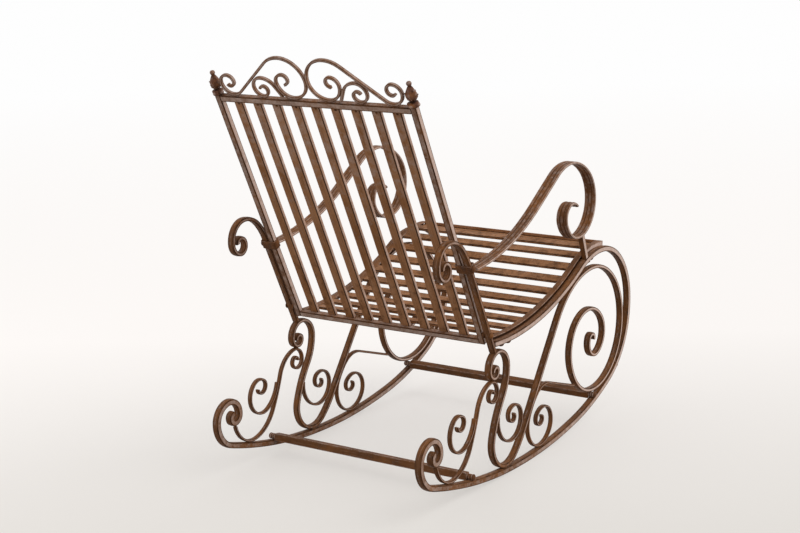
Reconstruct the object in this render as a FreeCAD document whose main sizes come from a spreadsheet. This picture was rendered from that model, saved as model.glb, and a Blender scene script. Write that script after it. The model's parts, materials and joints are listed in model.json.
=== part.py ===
import FreeCAD, Part
import math
import os

import Sketcher
from FreeCAD import Placement, Rotation, Vector

# Wrought-iron rocking chair of bent bar, in millimetres and degrees.
# The sitter faces -Y, Z is up, and the origin is on the floor below the middle of the chair.
# "Forward" is measured from the foot of the leg bar's U-turn, positive towards the sitter's front.

SIZES = {
    # side frames: the plane of each frame, and where the origin lies forward of the U-turn's foot
    "side_half_spacing": 265,
    "origin_forward": 136.824,
    # runner bar, which is also the seat bearer
    "runner_width": 15,
    "runner_thick": 14,
    "runner_forward": -41.365,
    "runner_height": 311.085,
    "runner_heading": -4.316,
    # leg bar with its loop, U-turn, diagonal and front spiral
    "leg_width": 15,
    "leg_thick": 10,
    "leg_forward": -48.9,
    "leg_height": 248.1,
    "leg_heading": 91,
    # raised line along the middle of the broad faces of runner, leg and post
    "ridge_rise": 0.8,
    # thin scrolls inside the side frames
    "scroll_width": 10,
    "scroll_thick": 6,
    "scroll_ridge": 0.5,
    # back post with its curl behind the arm
    "post_thick": 10,
    "post_foot": -16.8,
    "post_out": 5,
    # reeded arm
    "arm_width": 28,
    "arm_thick": 6,
    "reed_rise": 1.6,
    "arm_forward": -125.55,
    "arm_height": 494.08,
    "arm_heading": 3.621,
    "arm_post_side": 12,
    "arm_post_tall": 66.1,
    "arm_post_heading": 110,
    # back panel: foot of its rear face, lean from upright, stiles, rails and slats
    "back_tilt": 25.5,
    "panel_forward": -53.9,
    "panel_height": 305.7,
    "panel_depth": 13,
    "stile_half_spacing": 246,
    "stile_width": 14,
    "stile_foot": 5,
    "stile_head": 604,
    "rail_tall": 14,
    "back_slat_pitch": 50,
    "back_slat_width": 23,
    "back_slat_thick": 6,
    # crest scrolls over the top rail
    "crest_thick": 6,
    "crest_depth": 7,
    "crest_start_across": 59,
    "crest_start_up": 638.1,
    "small_crest_across": 73,
    "small_crest_up": 607.3,
    # finials on the stiles
    "finial_tall": 56,
    "finial_leaf_radius": 18,
    "finial_neck_radius": 6,
    "finial_bud_radius": 13,
    "finial_ball_radius": 5.5,
    "finial_lean": 5,
    # seat: its rails rise over the bearers, and its slats lie a little below the rails' tops
    "seat_rise": 5,
    "seat_rail_tall": 13,
    "seat_rail_flange": 14.5,
    "seat_rail_wall": 4,
    "seat_slat_width": 24,
    "seat_slat_thick": 6,
    "seat_slat_drop": 1,
    "seat_slat_pitch": 49,
    "seat_first_slat": 59,
    "front_rail_depth": 24,
    "front_rail_tall": 12,
    "front_rail_wall": 4,
    # stretchers, their end sleeves and the fasteners
    "stretcher_side": 17,
    "sleeve_radius": 6.5,
    "bolt_radius": 3,
    "bolt_clearance": 0.2,
    "bolt_head_radius": 7,
    "bolt_head_tall": 5,
    "bolt_dome_tall": 4,
    "stretcher_bolt_long": 37.5,
    "rivet_radius": 3,
    "rivet_top_radius": 1.8,
    "rivet_tall": 1.5,
    "rivet_below_rail": 6,
    "front_spacer": 7.44,
    "collar_wall": 3,
    "collar_tall": 20,
    "collar_foot": 200,
    "back_bolt_up": 30,
    "collar_bolt_up": 210,
}

doc = FreeCAD.newDocument("rocking_chair")
sheet = doc.addObject("Spreadsheet::Sheet", "Sizes")
for row, (alias, amount) in enumerate(SIZES.items(), start=1):
    sheet.set(f"A{row}", alias)
    sheet.set(f"B{row}", str(amount))
    sheet.setAlias(f"B{row}", alias)
doc.recompute()

SIDES = {"right": -1, "left": 1}
PARTS = []


class Size:
    """A value together with the sheet expression that it was worked out from."""

    def __init__(self, value, text):
        self.value = value
        self.text = text

    def __add__(self, other):
        other = as_size(other)
        return Size(self.value + other.value, f"({self.text} + {other.text})")

    def __sub__(self, other):
        other = as_size(other)
        return Size(self.value - other.value, f"({self.text} - {other.text})")

    def __mul__(self, other):
        other = as_size(other)
        return Size(self.value * other.value, f"({self.text} * {other.text})")

    def __truediv__(self, other):
        other = as_size(other)
        return Size(self.value / other.value, f"({self.text} / {other.text})")

    def __neg__(self):
        return Size(-self.value, f"(0 - {self.text})")


def as_size(item):
    if isinstance(item, Size):
        return item
    return Size(float(item), f"({float(item)})")


def cell(alias):
    return Size(float(SIZES[alias]), f"Sizes.{alias}")


def sine(angle):
    return Size(math.sin(math.radians(angle.value)), f"sin({angle.text})")


def cosine(angle):
    return Size(math.cos(math.radians(angle.value)), f"cos({angle.text})")


def bind(item, prop, size):
    item.setExpression(prop, as_size(size).text)


def named(item, name):
    """Give an object the label of a finished sub-part."""
    item.Label = name
    PARTS.append(item)
    return item


def place(item, x, y, z, rotation=Rotation()):
    """Set a placement whose position is bound to the sheet."""
    x, y, z = as_size(x), as_size(y), as_size(z)
    item.Placement = Placement(Vector(x.value, y.value, z.value), rotation)
    bind(item, "Placement.Base.x", x)
    bind(item, "Placement.Base.y", y)
    bind(item, "Placement.Base.z", z)


def tipped(degrees):
    """Turn about X that lifts a heading of straight forward (-Y) by so many degrees."""
    return Rotation(Vector(1, 0, 0), -degrees)


def new_sketch(body, name, role):
    sketch = body.newObject("Sketcher::SketchObject", name)
    support = [item for item in body.Origin.OriginFeatures if item.Role == role][0]
    sketch.AttachmentSupport = [(support, "")]
    sketch.MapMode = "FlatFace"
    return sketch


def pin(sketch, edge, across, up):
    """Hold the start point of an edge at a bound distance from the sketch's origin."""
    for kind, axis, size in (("DistanceX", -2, across), ("DistanceY", -1, up)):
        if size.value == 0:
            sketch.addConstraint(Sketcher.Constraint("PointOnObject", edge, 1, axis))
        elif size.value < 0:
            number = sketch.addConstraint(Sketcher.Constraint(kind, edge, 1, -1, 1, -size.value))
            bind(sketch, f"Constraints[{number}]", -size)
        else:
            number = sketch.addConstraint(Sketcher.Constraint(kind, -1, 1, edge, 1, size.value))
            bind(sketch, f"Constraints[{number}]", size)


def outline(sketch, corners, rounds=None):
    """Draw a closed outline, counter-clockwise, with every corner bound to the sheet.

    rounds gives, for an edge that is an outward arc, its bound radius and its rise over the chord.
    """
    rounds = rounds or {}
    corners = [(as_size(across), as_size(up)) for across, up in corners]
    points = [Vector(across.value, up.value, 0) for across, up in corners]
    first = len(sketch.Geometry)
    for number, (start, end) in enumerate(zip(points, points[1:] + points[:1])):
        if number in rounds:
            chord = end - start
            outward = Vector(chord.y, -chord.x, 0).normalize()
            crown = (start + end) / 2 + outward * rounds[number][1]
            sketch.addGeometry(Part.Arc(start, crown, end), False)
        else:
            sketch.addGeometry(Part.LineSegment(start, end), False)
    for number, (across, up) in enumerate(corners):
        following = first + (number + 1) % len(corners)
        sketch.addConstraint(Sketcher.Constraint("Coincident", first + number, 2, following, 1))
        pin(sketch, first + number, across, up)
    for number, (radius, rise) in rounds.items():
        limit = sketch.addConstraint(Sketcher.Constraint("Radius", first + number, radius.value))
        bind(sketch, f"Constraints[{limit}]", radius)


def rectangle(sketch, width, tall):
    outline(sketch, [
        (-width / 2, -tall / 2),
        (width / 2, -tall / 2),
        (width / 2, tall / 2),
        (-width / 2, tall / 2),
    ])


def circle(sketch, radius):
    edge = sketch.addGeometry(Part.Circle(Vector(), Vector(0, 0, 1), radius.value), False)
    sketch.addConstraint(Sketcher.Constraint("Coincident", edge, 3, -1, 1))
    number = sketch.addConstraint(Sketcher.Constraint("Radius", edge, radius.value))
    bind(sketch, f"Constraints[{number}]", radius)


def pad(body, sketch, length, symmetric=False):
    feature = body.newObject("PartDesign::Pad", "pad")
    feature.Profile = sketch
    feature.Midplane = symmetric
    bind(feature, "Length", length)


def turned(name, corners, rounds):
    """A round piece from half its outline, turned about its own Z axis."""
    body = doc.addObject("PartDesign::Body", name)
    sketch = new_sketch(body, "half_outline", "XZ_Plane")
    outline(sketch, corners, rounds)
    doc.recompute()
    feature = body.newObject("PartDesign::Revolution", "turned")
    feature.Profile = sketch
    feature.ReferenceAxis = (sketch, ["V_Axis"])
    feature.Angle = 360
    return body


def cross_bar(name, width, tall, length):
    """A straight bar of rectangular section that lies along X, centred on its own origin."""
    body = doc.addObject("PartDesign::Body", name)
    section = new_sketch(body, "section", "YZ_Plane")
    rectangle(section, width, tall)
    pad(body, section, length, symmetric=True)
    return body


def upright_bar(name, width, depth, length):
    """A straight bar of rectangular section that rises along Z from its own origin."""
    body = doc.addObject("PartDesign::Body", name)
    section = new_sketch(body, "section", "XY_Plane")
    rectangle(section, width, depth)
    pad(body, section, length)
    return body


def tube(name, outer, inner, length):
    """A round sleeve about Z, centred on its own origin."""
    body = doc.addObject("PartDesign::Body", name)
    section = new_sketch(body, "section", "XY_Plane")
    circle(section, outer)
    circle(section, inner)
    pad(body, section, length, symmetric=True)
    return body


def drilled(name, bar, holes):
    """A finished bar with its bolt holes cut out."""
    tool = doc.addObject("Part::Compound", name + "_holes")
    tool.Links = holes
    cut = doc.addObject("Part::Cut", name)
    cut.Base = bar
    cut.Tool = tool
    return named(cut, name)


def group(name, items):
    compound = doc.addObject("Part::Compound", name)
    compound.Links = items
    return named(compound, name)


# Bends
# A bend is a radius and a turn in degrees, to the left when positive, seen with forward to the right.
# A turn of 0 is a straight run, whose first number is its length.

def bend_walk(bends, forward=0.0, height=0.0, heading=0.0):
    """Give for each bend its start, middle and end, with the heading at its end."""
    stretches = []
    for amount, turn in bends:
        ahead = math.radians(heading)
        if turn == 0:
            middle, end = [
                (forward + share * amount * math.cos(ahead), height + share * amount * math.sin(ahead))
                for share in (0.5, 1.0)
            ]
        else:
            radius = math.copysign(amount, turn)
            centre = (forward - radius * math.sin(ahead), height + radius * math.cos(ahead))
            middle, end = [
                (centre[0] + radius * math.sin(ahead + share * math.radians(turn)),
                 centre[1] - radius * math.cos(ahead + share * math.radians(turn)))
                for share in (0.5, 1.0)
            ]
        heading += turn
        stretches.append(((forward, height), middle, end, heading))
        forward, height = end
    return stretches


def bent_bar(name, bends, draw_section):
    """A body swept along its bends, starting at its own origin and heading along -Y."""
    body = doc.addObject("PartDesign::Body", name)
    path = new_sketch(body, "path", "YZ_Plane")
    for (start, middle, end, heading), (amount, turn) in zip(bend_walk(bends), bends):
        points = [Vector(-forward, height, 0) for forward, height in (start, middle, end)]
        edge = Part.Arc(*points) if turn else Part.LineSegment(points[0], points[2])
        number = path.addGeometry(edge, False)
        path.addConstraint(Sketcher.Constraint("Block", number))
    section = new_sketch(body, "section", "XZ_Plane")
    draw_section(section)
    doc.recompute()
    pipe = body.newObject("PartDesign::AdditivePipe", "pipe")
    pipe.Profile = section
    pipe.Spine = (path, [])
    return body


def ridged_section(width, thick, rise):
    """Flat bar whose broad faces rise to a line along the middle."""
    width, thick = cell(width), cell(thick)
    flat = thick / 2 - cell(rise)
    middle = as_size(0)
    return lambda sketch: outline(sketch, [
        (-width / 2, -flat),
        (middle, -thick / 2),
        (width / 2, -flat),
        (width / 2, flat),
        (middle, thick / 2),
        (-width / 2, flat),
    ])


def reeded_section(sketch):
    """Flat below, with three convex reeds above."""
    width, thick, rise = cell("arm_width"), cell("arm_thick"), cell("reed_rise")
    shoulder = thick / 2 - rise
    reed_width = width / 3
    reed = (reed_width * reed_width / (rise * 8) + rise / 2, rise.value)
    outline(sketch, [
        (-width / 2, -thick / 2),
        (width / 2, -thick / 2),
        (width / 2, shoulder),
        (reed_width / 2, shoulder),
        (-reed_width / 2, shoulder),
        (-width / 2, shoulder),
    ], {2: reed, 3: reed, 4: reed})


def angle_section(side):
    """Angle bar with its flange on top, towards the middle, and its leg down on the outside."""
    tall, flange, wall = cell("seat_rail_tall"), cell("seat_rail_flange"), cell("seat_rail_wall")
    nothing = as_size(0)
    return lambda sketch: outline(sketch, [
        (nothing, nothing),
        (nothing, -tall),
        (wall * -side, -tall),
        (wall * -side, -wall),
        (flange * -side, -wall),
        (flange * -side, nothing),
    ])


def crest_section(sketch):
    rectangle(sketch, cell("crest_depth"), cell("crest_thick"))


# Places

def place_side(item, side, forward, height, rotation, outward=0):
    """Place a piece in the plane of a side frame, or some way outward of it."""
    x = (cell("side_half_spacing") + outward) * side
    place(item, x, cell("origin_forward") - forward, height, rotation)


def place_panel(item, across, up, out, rotation=Rotation()):
    """Place a piece in the leaning back: up from its foot, and out in front of its rear face."""
    up, out, tilt = as_size(up), as_size(out), cell("back_tilt")
    y = cell("origin_forward") - cell("panel_forward") + up * sine(tilt) - out * cosine(tilt)
    z = cell("panel_height") + up * cosine(tilt) + out * sine(tilt)
    place(item, across, y, z, Rotation(Vector(1, 0, 0), -tilt.value) * rotation)


def inward(side):
    return Rotation(Vector(0, 0, 1), Vector(-side, 0, 0))


SEAT_BENDS = [(740, 32.316), (215, -31)]
RUNNER_BENDS = SEAT_BENDS + [
    (155, -82), (195, -69), (680, -16), (1410, -13), (1250, -14.6), (61, -74.4),
    (42, -90), (34, -90), (18, -90), (13, -90), (9, -90),
]


def bar_station(start, bends, distance, over):
    """Point and heading at a distance along a bent bar, moved over towards its left side."""
    forward, height, heading = start
    for radius, turn in bends:
        length = radius * math.radians(abs(turn))
        if distance <= 0:
            break
        bend = (radius, turn * min(1.0, distance / length))
        start, middle, (forward, height), heading = bend_walk([bend], forward, height, heading)[0]
        distance -= length
    ahead = math.radians(heading)
    return forward - over * math.sin(ahead), height + over * math.cos(ahead), heading


def runner_station(distance, over):
    start = (SIZES["runner_forward"], SIZES["runner_height"], SIZES["runner_heading"])
    return bar_station(start, RUNNER_BENDS, distance, over)


# Fasteners

HOLE_OVERRUN = 1


def dome_bolt(name, shank):
    """Bolt along Z: the low domed head is below the origin, the shank above it."""
    bolt, head, tall = cell("bolt_radius"), cell("bolt_head_radius"), cell("bolt_head_tall")
    nothing = as_size(0)
    dome = cell("bolt_dome_tall")
    dome_radius = (head * head + dome * dome) / (dome * 2)
    chord = math.hypot(head.value, dome.value)
    dome_rise = dome_radius.value - math.sqrt(dome_radius.value ** 2 - chord ** 2 / 4)
    return turned(name, [
        (nothing, -tall),
        (head, dome - tall),
        (head, nothing),
        (bolt, nothing),
        (bolt, shank),
        (nothing, shank),
    ], {0: (dome_radius, dome_rise)})


def bolt_hole(name, shank):
    """Round cutter along Z that runs past both ends of the bolt's shank."""
    body = doc.addObject("PartDesign::Body", name)
    section = new_sketch(body, "section", "XY_Plane")
    circle(section, cell("bolt_radius") + cell("bolt_clearance"))
    pad(body, section, (shank + HOLE_OVERRUN) * 2, symmetric=True)
    return body


def bolt_and_hole(name, shank, put):
    """A bolt and the hole that it needs, both put in the same place."""
    pair = [dome_bolt(name, shank), bolt_hole(name + "_hole", shank)]
    for item in pair:
        put(item)
    return pair


# Side frames

LEG_BENDS = [
    (10, -182), (14, -91), (20, -87), (36, -93), (43, -91), (115, -33), (305, 18), (59, 146), (205, 15.48),
    (280.9, 0), (214.7, -50), (166.8, -53.1), (148.1, -139.1), (120.4, -68.7), (90.4, -156.6), (52.9, -103.7),
    (32.9, -134.6), (13.7, -99.9), (9, -90),
]
POST_BENDS = [(238.4, 0), (140, 20), (65, 48), (45, 94), (27, 72), (18, 180), (11, 110)]
ARM_BENDS = [(580, 28.379), (101, 0), (130, -76), (88, -42), (80, -96), (65, -64), (33, -161)]

# Thin scrolls: start forward, start height, start heading and bends
THIN_SCROLLS = {
    "rear_s_scroll": (-42.946, 198.417, -273, [
        (9, 120), (13, 100), (19, 133), (27, 113), (71, 58.4), (480, -10), (95, -45), (63, -93.2)]),
    "rear_c_scroll": (-123.5, 165.7, -102, [(80, -46), (42, -174), (29, -72), (16, -165), (10, -80)]),
    "inner_c_scroll": (-23.6, 139.4, -99, [(60, 91), (46, 96), (33, 122), (17, 163), (9, 128)]),
    "front_c_scroll": (331.3, 117.5, 162, [
        (127.9, 0), (63, 59), (145, 21), (57, 176), (40, 166), (16, 185), (9, 100)]),
}

# Distances along the runner bar
SEAT_BOLT_STATIONS = (33, 63, 460, 476)
ARM_POST_STATION = 449
FRONT_BOLT_STATION = 939
FRONT_STRETCHER_STATION = 1073
REAR_STRETCHER_STATION = 1659

frame_bolts = []
seat_bolts = []
spacers = []
bolt_bore = cell("bolt_radius") + cell("bolt_clearance")


def seat_bolt(name, side, distance):
    """Bolt from under the bearer, through its thickness."""
    forward, height, heading = runner_station(distance, -SIZES["runner_thick"] / 2)
    return bolt_and_hole(name, cell("runner_thick"), lambda item: place_side(
        item, side, forward, height, tipped(heading)))


def front_bolt(name, side):
    """Bolt from in front through runner bar, spacer and leg bar."""
    half = SIZES["runner_thick"] / 2
    shank = cell("runner_thick") + cell("front_spacer") + cell("leg_thick")
    forward, height, heading = runner_station(FRONT_BOLT_STATION, half)
    return bolt_and_hole(name, shank, lambda item: place_side(
        item, side, forward, height, tipped(heading + 180)))


def front_spacer(name, side):
    half = SIZES["runner_thick"] / 2 + SIZES["front_spacer"] / 2
    forward, height, heading = runner_station(FRONT_BOLT_STATION, -half)
    body = tube(name, cell("bolt_head_radius"), bolt_bore, cell("front_spacer"))
    place_side(body, side, forward, height, tipped(heading + 180))
    return body


post_face = cell("side_half_spacing") + cell("leg_width") / 2
stile_inner_face = cell("stile_half_spacing") - cell("stile_width") / 2
stile_outer_face = cell("stile_half_spacing") + cell("stile_width") / 2


def back_bolt(name, side, up, face):
    """Bolt across the chair through back post and stile."""
    return bolt_and_hole(name, face - stile_inner_face, lambda item: place_panel(
        item, face * side, up, cell("post_out"), inward(side)))


def back_spacer(name, side):
    gap = post_face - cell("leg_width") - stile_outer_face
    body = tube(name, cell("bolt_head_radius"), bolt_bore, gap)
    across = (stile_outer_face + gap / 2) * side
    place_panel(body, across, cell("back_bolt_up"), cell("post_out"), inward(side))
    return body


def collar(name, side, holes):
    """Band round the back post and the stile, which the arm's rear end meets."""
    wall, depth = cell("collar_wall"), cell("panel_depth")
    held = post_face - stile_inner_face
    body = doc.addObject("PartDesign::Body", name + "_band")
    section = new_sketch(body, "section", "XY_Plane")
    rectangle(section, held + wall * 2, depth + wall * 2)
    rectangle(section, held, depth)
    pad(body, section, cell("collar_tall"))
    place_panel(body, (stile_inner_face + held / 2) * side, cell("collar_foot"), depth / 2)
    drilled(name, body, holes)


def side_frame(end, side):
    """All bars of one side frame, with their bolts."""
    bolts = [seat_bolt(f"seat_bolt_{end}_{number}", side, distance)
             for number, distance in enumerate(SEAT_BOLT_STATIONS, start=1)]
    front, front_hole = front_bolt("front_bolt_" + end, side)
    low, low_hole = back_bolt("back_bolt_" + end, side, cell("back_bolt_up"), post_face)
    high, high_hole = back_bolt(
        "collar_bolt_" + end, side, cell("collar_bolt_up"), post_face + cell("collar_wall"))
    seat_bolts.extend(bolt for bolt, hole in bolts)
    frame_bolts.extend([front, low, high])
    spacers.extend([front_spacer("front_spacer_" + end, side), back_spacer("back_spacer_" + end, side)])

    runner_section = ridged_section("runner_width", "runner_thick", "ridge_rise")
    runner = bent_bar("runner_" + end, RUNNER_BENDS, runner_section)
    place_side(runner, side, cell("runner_forward"), cell("runner_height"), tipped(SIZES["runner_heading"]))
    drilled("runner_bar_" + end, runner, [hole for bolt, hole in bolts] + [front_hole])

    leg = bent_bar("leg_" + end, LEG_BENDS, ridged_section("leg_width", "leg_thick", "ridge_rise"))
    place_side(leg, side, cell("leg_forward"), cell("leg_height"), tipped(SIZES["leg_heading"]))
    drilled("leg_bar_" + end, leg, [front_hole])

    post = bent_bar("post_" + end, POST_BENDS, ridged_section("leg_width", "post_thick", "ridge_rise"))
    place_panel(post, cell("side_half_spacing") * side, cell("post_foot"), cell("post_out"), tipped(90))
    drilled("back_post_" + end, post, [low_hole, high_hole])

    stile = upright_bar("stile_" + end, cell("stile_width"), cell("panel_depth"),
                        cell("stile_head") - cell("stile_foot"))
    place_panel(stile, cell("stile_half_spacing") * side, cell("stile_foot"), cell("panel_depth") / 2)
    drilled("back_stile_" + end, stile, [low_hole, high_hole])

    collar("collar_" + end, side, [high_hole])

    for name, (forward, height, heading, bends) in THIN_SCROLLS.items():
        section = ridged_section("scroll_width", "scroll_thick", "scroll_ridge")
        scroll = named(bent_bar(f"{name}_{end}", bends, section), f"{name}_{end}")
        place_side(scroll, side, forward, height, tipped(heading))

    arm = named(bent_bar("arm_" + end, ARM_BENDS, reeded_section), "arm_" + end)
    place_side(arm, side, cell("arm_forward"), cell("arm_height"), tipped(SIZES["arm_heading"]))

    thick = cell("arm_post_side")
    arm_post = named(upright_bar("arm_post_" + end, thick, thick, cell("arm_post_tall")), "arm_post_" + end)
    forward, height, heading = runner_station(ARM_POST_STATION, SIZES["runner_thick"] / 2)
    place_side(arm_post, side, forward, height, tipped(SIZES["arm_post_heading"] - 90),
               (cell("runner_width") - thick) / 2)


for end, side in SIDES.items():
    side_frame(end, side)
group("frame_bolts", frame_bolts)
group("seat_bolts", seat_bolts)
group("spacers", spacers)


# Stretchers on the runners, each between two sleeves

def stretcher(name, distance):
    side_length = cell("stretcher_side")
    over = -(SIZES["runner_thick"] / 2 + SIZES["sleeve_radius"])
    forward, height, heading = runner_station(distance, over)
    bar = doc.addObject("PartDesign::Body", name)
    section = new_sketch(bar, "section", "YZ_Plane")
    rectangle(section, side_length, side_length)
    circle(section, bolt_bore)
    pad(bar, section, cell("side_half_spacing") * 2 - cell("runner_width"), symmetric=True)
    place_side(named(bar, name), 0, forward, height, tipped(heading))
    bolts = []
    sleeves = []
    for end, side in SIDES.items():
        sleeve = tube(f"{name}_sleeve_{end}", cell("sleeve_radius"), bolt_bore, cell("runner_width"))
        place_side(sleeve, side, forward, height, inward(side))
        sleeves.append(sleeve)
        bolt = dome_bolt(f"{name}_bolt_{end}", cell("stretcher_bolt_long"))
        place_side(bolt, side, forward, height, inward(side), cell("runner_width") / 2)
        bolts.append(bolt)
    return sleeves, bolts


front_sleeves, front_bolts = stretcher("front_stretcher", FRONT_STRETCHER_STATION)
rear_sleeves, rear_bolts = stretcher("rear_stretcher", REAR_STRETCHER_STATION)
group("stretcher_sleeves", front_sleeves + rear_sleeves)
group("stretcher_bolts", front_bolts + rear_bolts)


# Seat

SEAT_SLATS = 10
FRONT_RAIL_BEND = (255, -33.2)
rail_over = SIZES["runner_thick"] / 2 + SIZES["seat_rise"]
rail_start = runner_station(0, rail_over)
rail_bends = [(SEAT_BENDS[0][0] - rail_over, SEAT_BENDS[0][1]), FRONT_RAIL_BEND]
rail_out = -cell("runner_width") / 2
slat_over = -SIZES["seat_slat_drop"] - SIZES["seat_slat_thick"] / 2
seat_width = (cell("side_half_spacing") + rail_out - cell("seat_rail_flange")) * 2

for end, side in SIDES.items():
    rail = named(bent_bar("seat_rail_" + end, rail_bends, angle_section(side)), "seat_rail_" + end)
    forward, height, heading = rail_start
    place_side(rail, side, forward, height, tipped(heading), rail_out)

for number in range(SEAT_SLATS):
    name = f"seat_slat_{number + 1}"
    slat = named(cross_bar(name, cell("seat_slat_width"), cell("seat_slat_thick"), seat_width), name)
    distance = SIZES["seat_first_slat"] + number * SIZES["seat_slat_pitch"]
    forward, height, heading = bar_station(rail_start, rail_bends, distance, slat_over)
    place_side(slat, 0, forward, height, tipped(heading))

front_rail = named(doc.addObject("PartDesign::Body", "seat_front_rail"), "seat_front_rail")
front_section = new_sketch(front_rail, "section", "YZ_Plane")
front_depth = cell("front_rail_depth")
front_tall, front_wall = cell("front_rail_tall"), cell("front_rail_wall")
outline(front_section, [
    (as_size(0), -front_tall),
    (front_depth, -front_tall),
    (front_depth, front_wall - front_tall),
    (front_wall, front_wall - front_tall),
    (front_wall, as_size(0)),
    (as_size(0), as_size(0)),
])
pad(front_rail, front_section, seat_width, symmetric=True)
start, middle, (forward, height), heading = bend_walk(rail_bends, *rail_start)[-1]
place_side(front_rail, 0, forward, height, tipped(heading))


# Back panel

BACK_SLATS = 9
rail_length = stile_inner_face * 2
middle_out = cell("panel_depth") / 2
slat_out = cell("panel_depth") - cell("back_slat_thick") / 2
slat_foot = cell("stile_foot") + cell("rail_tall")
slat_head = cell("stile_head") - cell("rail_tall")

for name, up in (
    ("back_bottom_rail", cell("stile_foot") + cell("rail_tall") / 2),
    ("back_top_rail", cell("stile_head") - cell("rail_tall") / 2),
):
    rail = named(cross_bar(name, cell("panel_depth"), cell("rail_tall"), rail_length), name)
    place_panel(rail, 0, up, middle_out)

rivets = []
for number in range(BACK_SLATS):
    name = f"back_slat_{number + 1}"
    across = cell("back_slat_pitch") * (number - (BACK_SLATS - 1) / 2)
    thick = cell("back_slat_thick")
    slat = named(upright_bar(name, cell("back_slat_width"), thick, slat_head - slat_foot), name)
    place_panel(slat, across, slat_foot, slat_out)
    rivet = doc.addObject("Part::Cone", f"rivet_{number + 1}")
    bind(rivet, "Radius1", cell("rivet_radius"))
    bind(rivet, "Radius2", cell("rivet_top_radius"))
    bind(rivet, "Height", cell("rivet_tall"))
    place_panel(rivet, across, slat_head - cell("rivet_below_rail"), slat_out - thick / 2,
                Rotation(Vector(1, 0, 0), -90))
    rivets.append(rivet)
group("slat_rivets", rivets)


# Crest and finials

CREST_BENDS = [
    (11, -90), (12, -90), (19, -90), (35, -90), (41, -90), (53, -90), (60, -40), (113.4, 0), (30, 40),
    (26, 90), (20, 90), (15, 90), (11, 90), (9, 60),
]
CREST_HEADING = 180
SMALL_CREST_BENDS = [(28, 0), (36, -62), (24, -90), (20, -90), (14, -90), (10, -90), (9, -70)]
SMALL_CREST_HEADING = 62
# Finial levels, as shares of its height, and radii, as shares of the leaf's or the ball's
LEAF_FOOT_UP, LEAF_TIP_UP, LEAF_TOP_UP, NECK_UP, BUD_HALF = 0.04, 0.14, 0.19, 0.27, 0.22
LEAF_FOOT, LEAF_TOP = 0.5, 0.9
BALL_TALL, BALL_NECK = 1.8, 0.6


def crest_bar(name, side, across, up, heading, bends):
    body = named(bent_bar(name, bends, crest_section), name)
    turn = Rotation(Vector(0, 0, 1), 90 * side) * tipped(heading)
    place_panel(body, across * side, up, middle_out, turn)


def finial(name, side):
    """Cast finial: flared leaves at the foot, a neck, a bud and a ball tip."""
    tall, leaf, neck = cell("finial_tall"), cell("finial_leaf_radius"), cell("finial_neck_radius")
    bud, ball = cell("finial_bud_radius"), cell("finial_ball_radius")
    nothing = as_size(0)
    bud_rise = bud - neck
    bud_half = tall * BUD_HALF
    bud_radius = (bud_rise * bud_rise + bud_half * bud_half) / (bud_rise * 2)
    ball_foot = tall - ball * BALL_TALL
    ball_neck = ball * BALL_NECK
    ball_chord = math.hypot(ball_neck.value, ball.value * BALL_TALL)
    ball_rise = ball.value + math.copysign(math.sqrt(ball.value ** 2 - ball_chord ** 2 / 4), -1)
    body = turned(name, [
        (nothing, nothing),
        (leaf * LEAF_FOOT, tall * LEAF_FOOT_UP),
        (leaf, tall * LEAF_TIP_UP),
        (leaf * LEAF_TOP, tall * LEAF_TOP_UP),
        (neck, tall * NECK_UP),
        (neck, tall * NECK_UP + bud_half * 2),
        (ball_neck, ball_foot),
        (nothing, tall),
    ], {4: (bud_radius, bud_rise.value), 6: (ball, ball_rise)})
    lean = Rotation(Vector(1, 0, 0), SIZES["finial_lean"])
    place_panel(named(body, name), cell("stile_half_spacing") * side, cell("stile_head"), middle_out, lean)


for end, side in SIDES.items():
    crest_bar("crest_scroll_" + end, side, cell("crest_start_across"), cell("crest_start_up"),
              CREST_HEADING, CREST_BENDS)
    crest_bar("crest_small_scroll_" + end, side, cell("small_crest_across"), cell("small_crest_up"),
              SMALL_CREST_HEADING, SMALL_CREST_BENDS)
    finial("finial_" + end, side)


# Check and write
doc.recompute()
for item in doc.Objects:
    if "Invalid" in item.State or "Error" in item.State:
        raise RuntimeError(f"{item.Label} did not recompute")
for item in PARTS:
    if item.Shape.isNull() or not item.Shape.isValid():
        raise RuntimeError(f"{item.Label} has no valid shape")

os.makedirs("parts", exist_ok=True)
for item in PARTS:
    item.Shape.exportStep(os.path.join("parts", item.Label + ".step"))
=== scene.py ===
"""Garden rocking chair of bent iron bar in antique brown enamel, dressed over its solid frame."""

import itertools
import json
import math

import bmesh
import bpy
from bpy.props import FloatProperty, FloatVectorProperty, IntProperty, PointerProperty
from mathutils import Matrix, Vector, kdtree, noise

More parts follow.
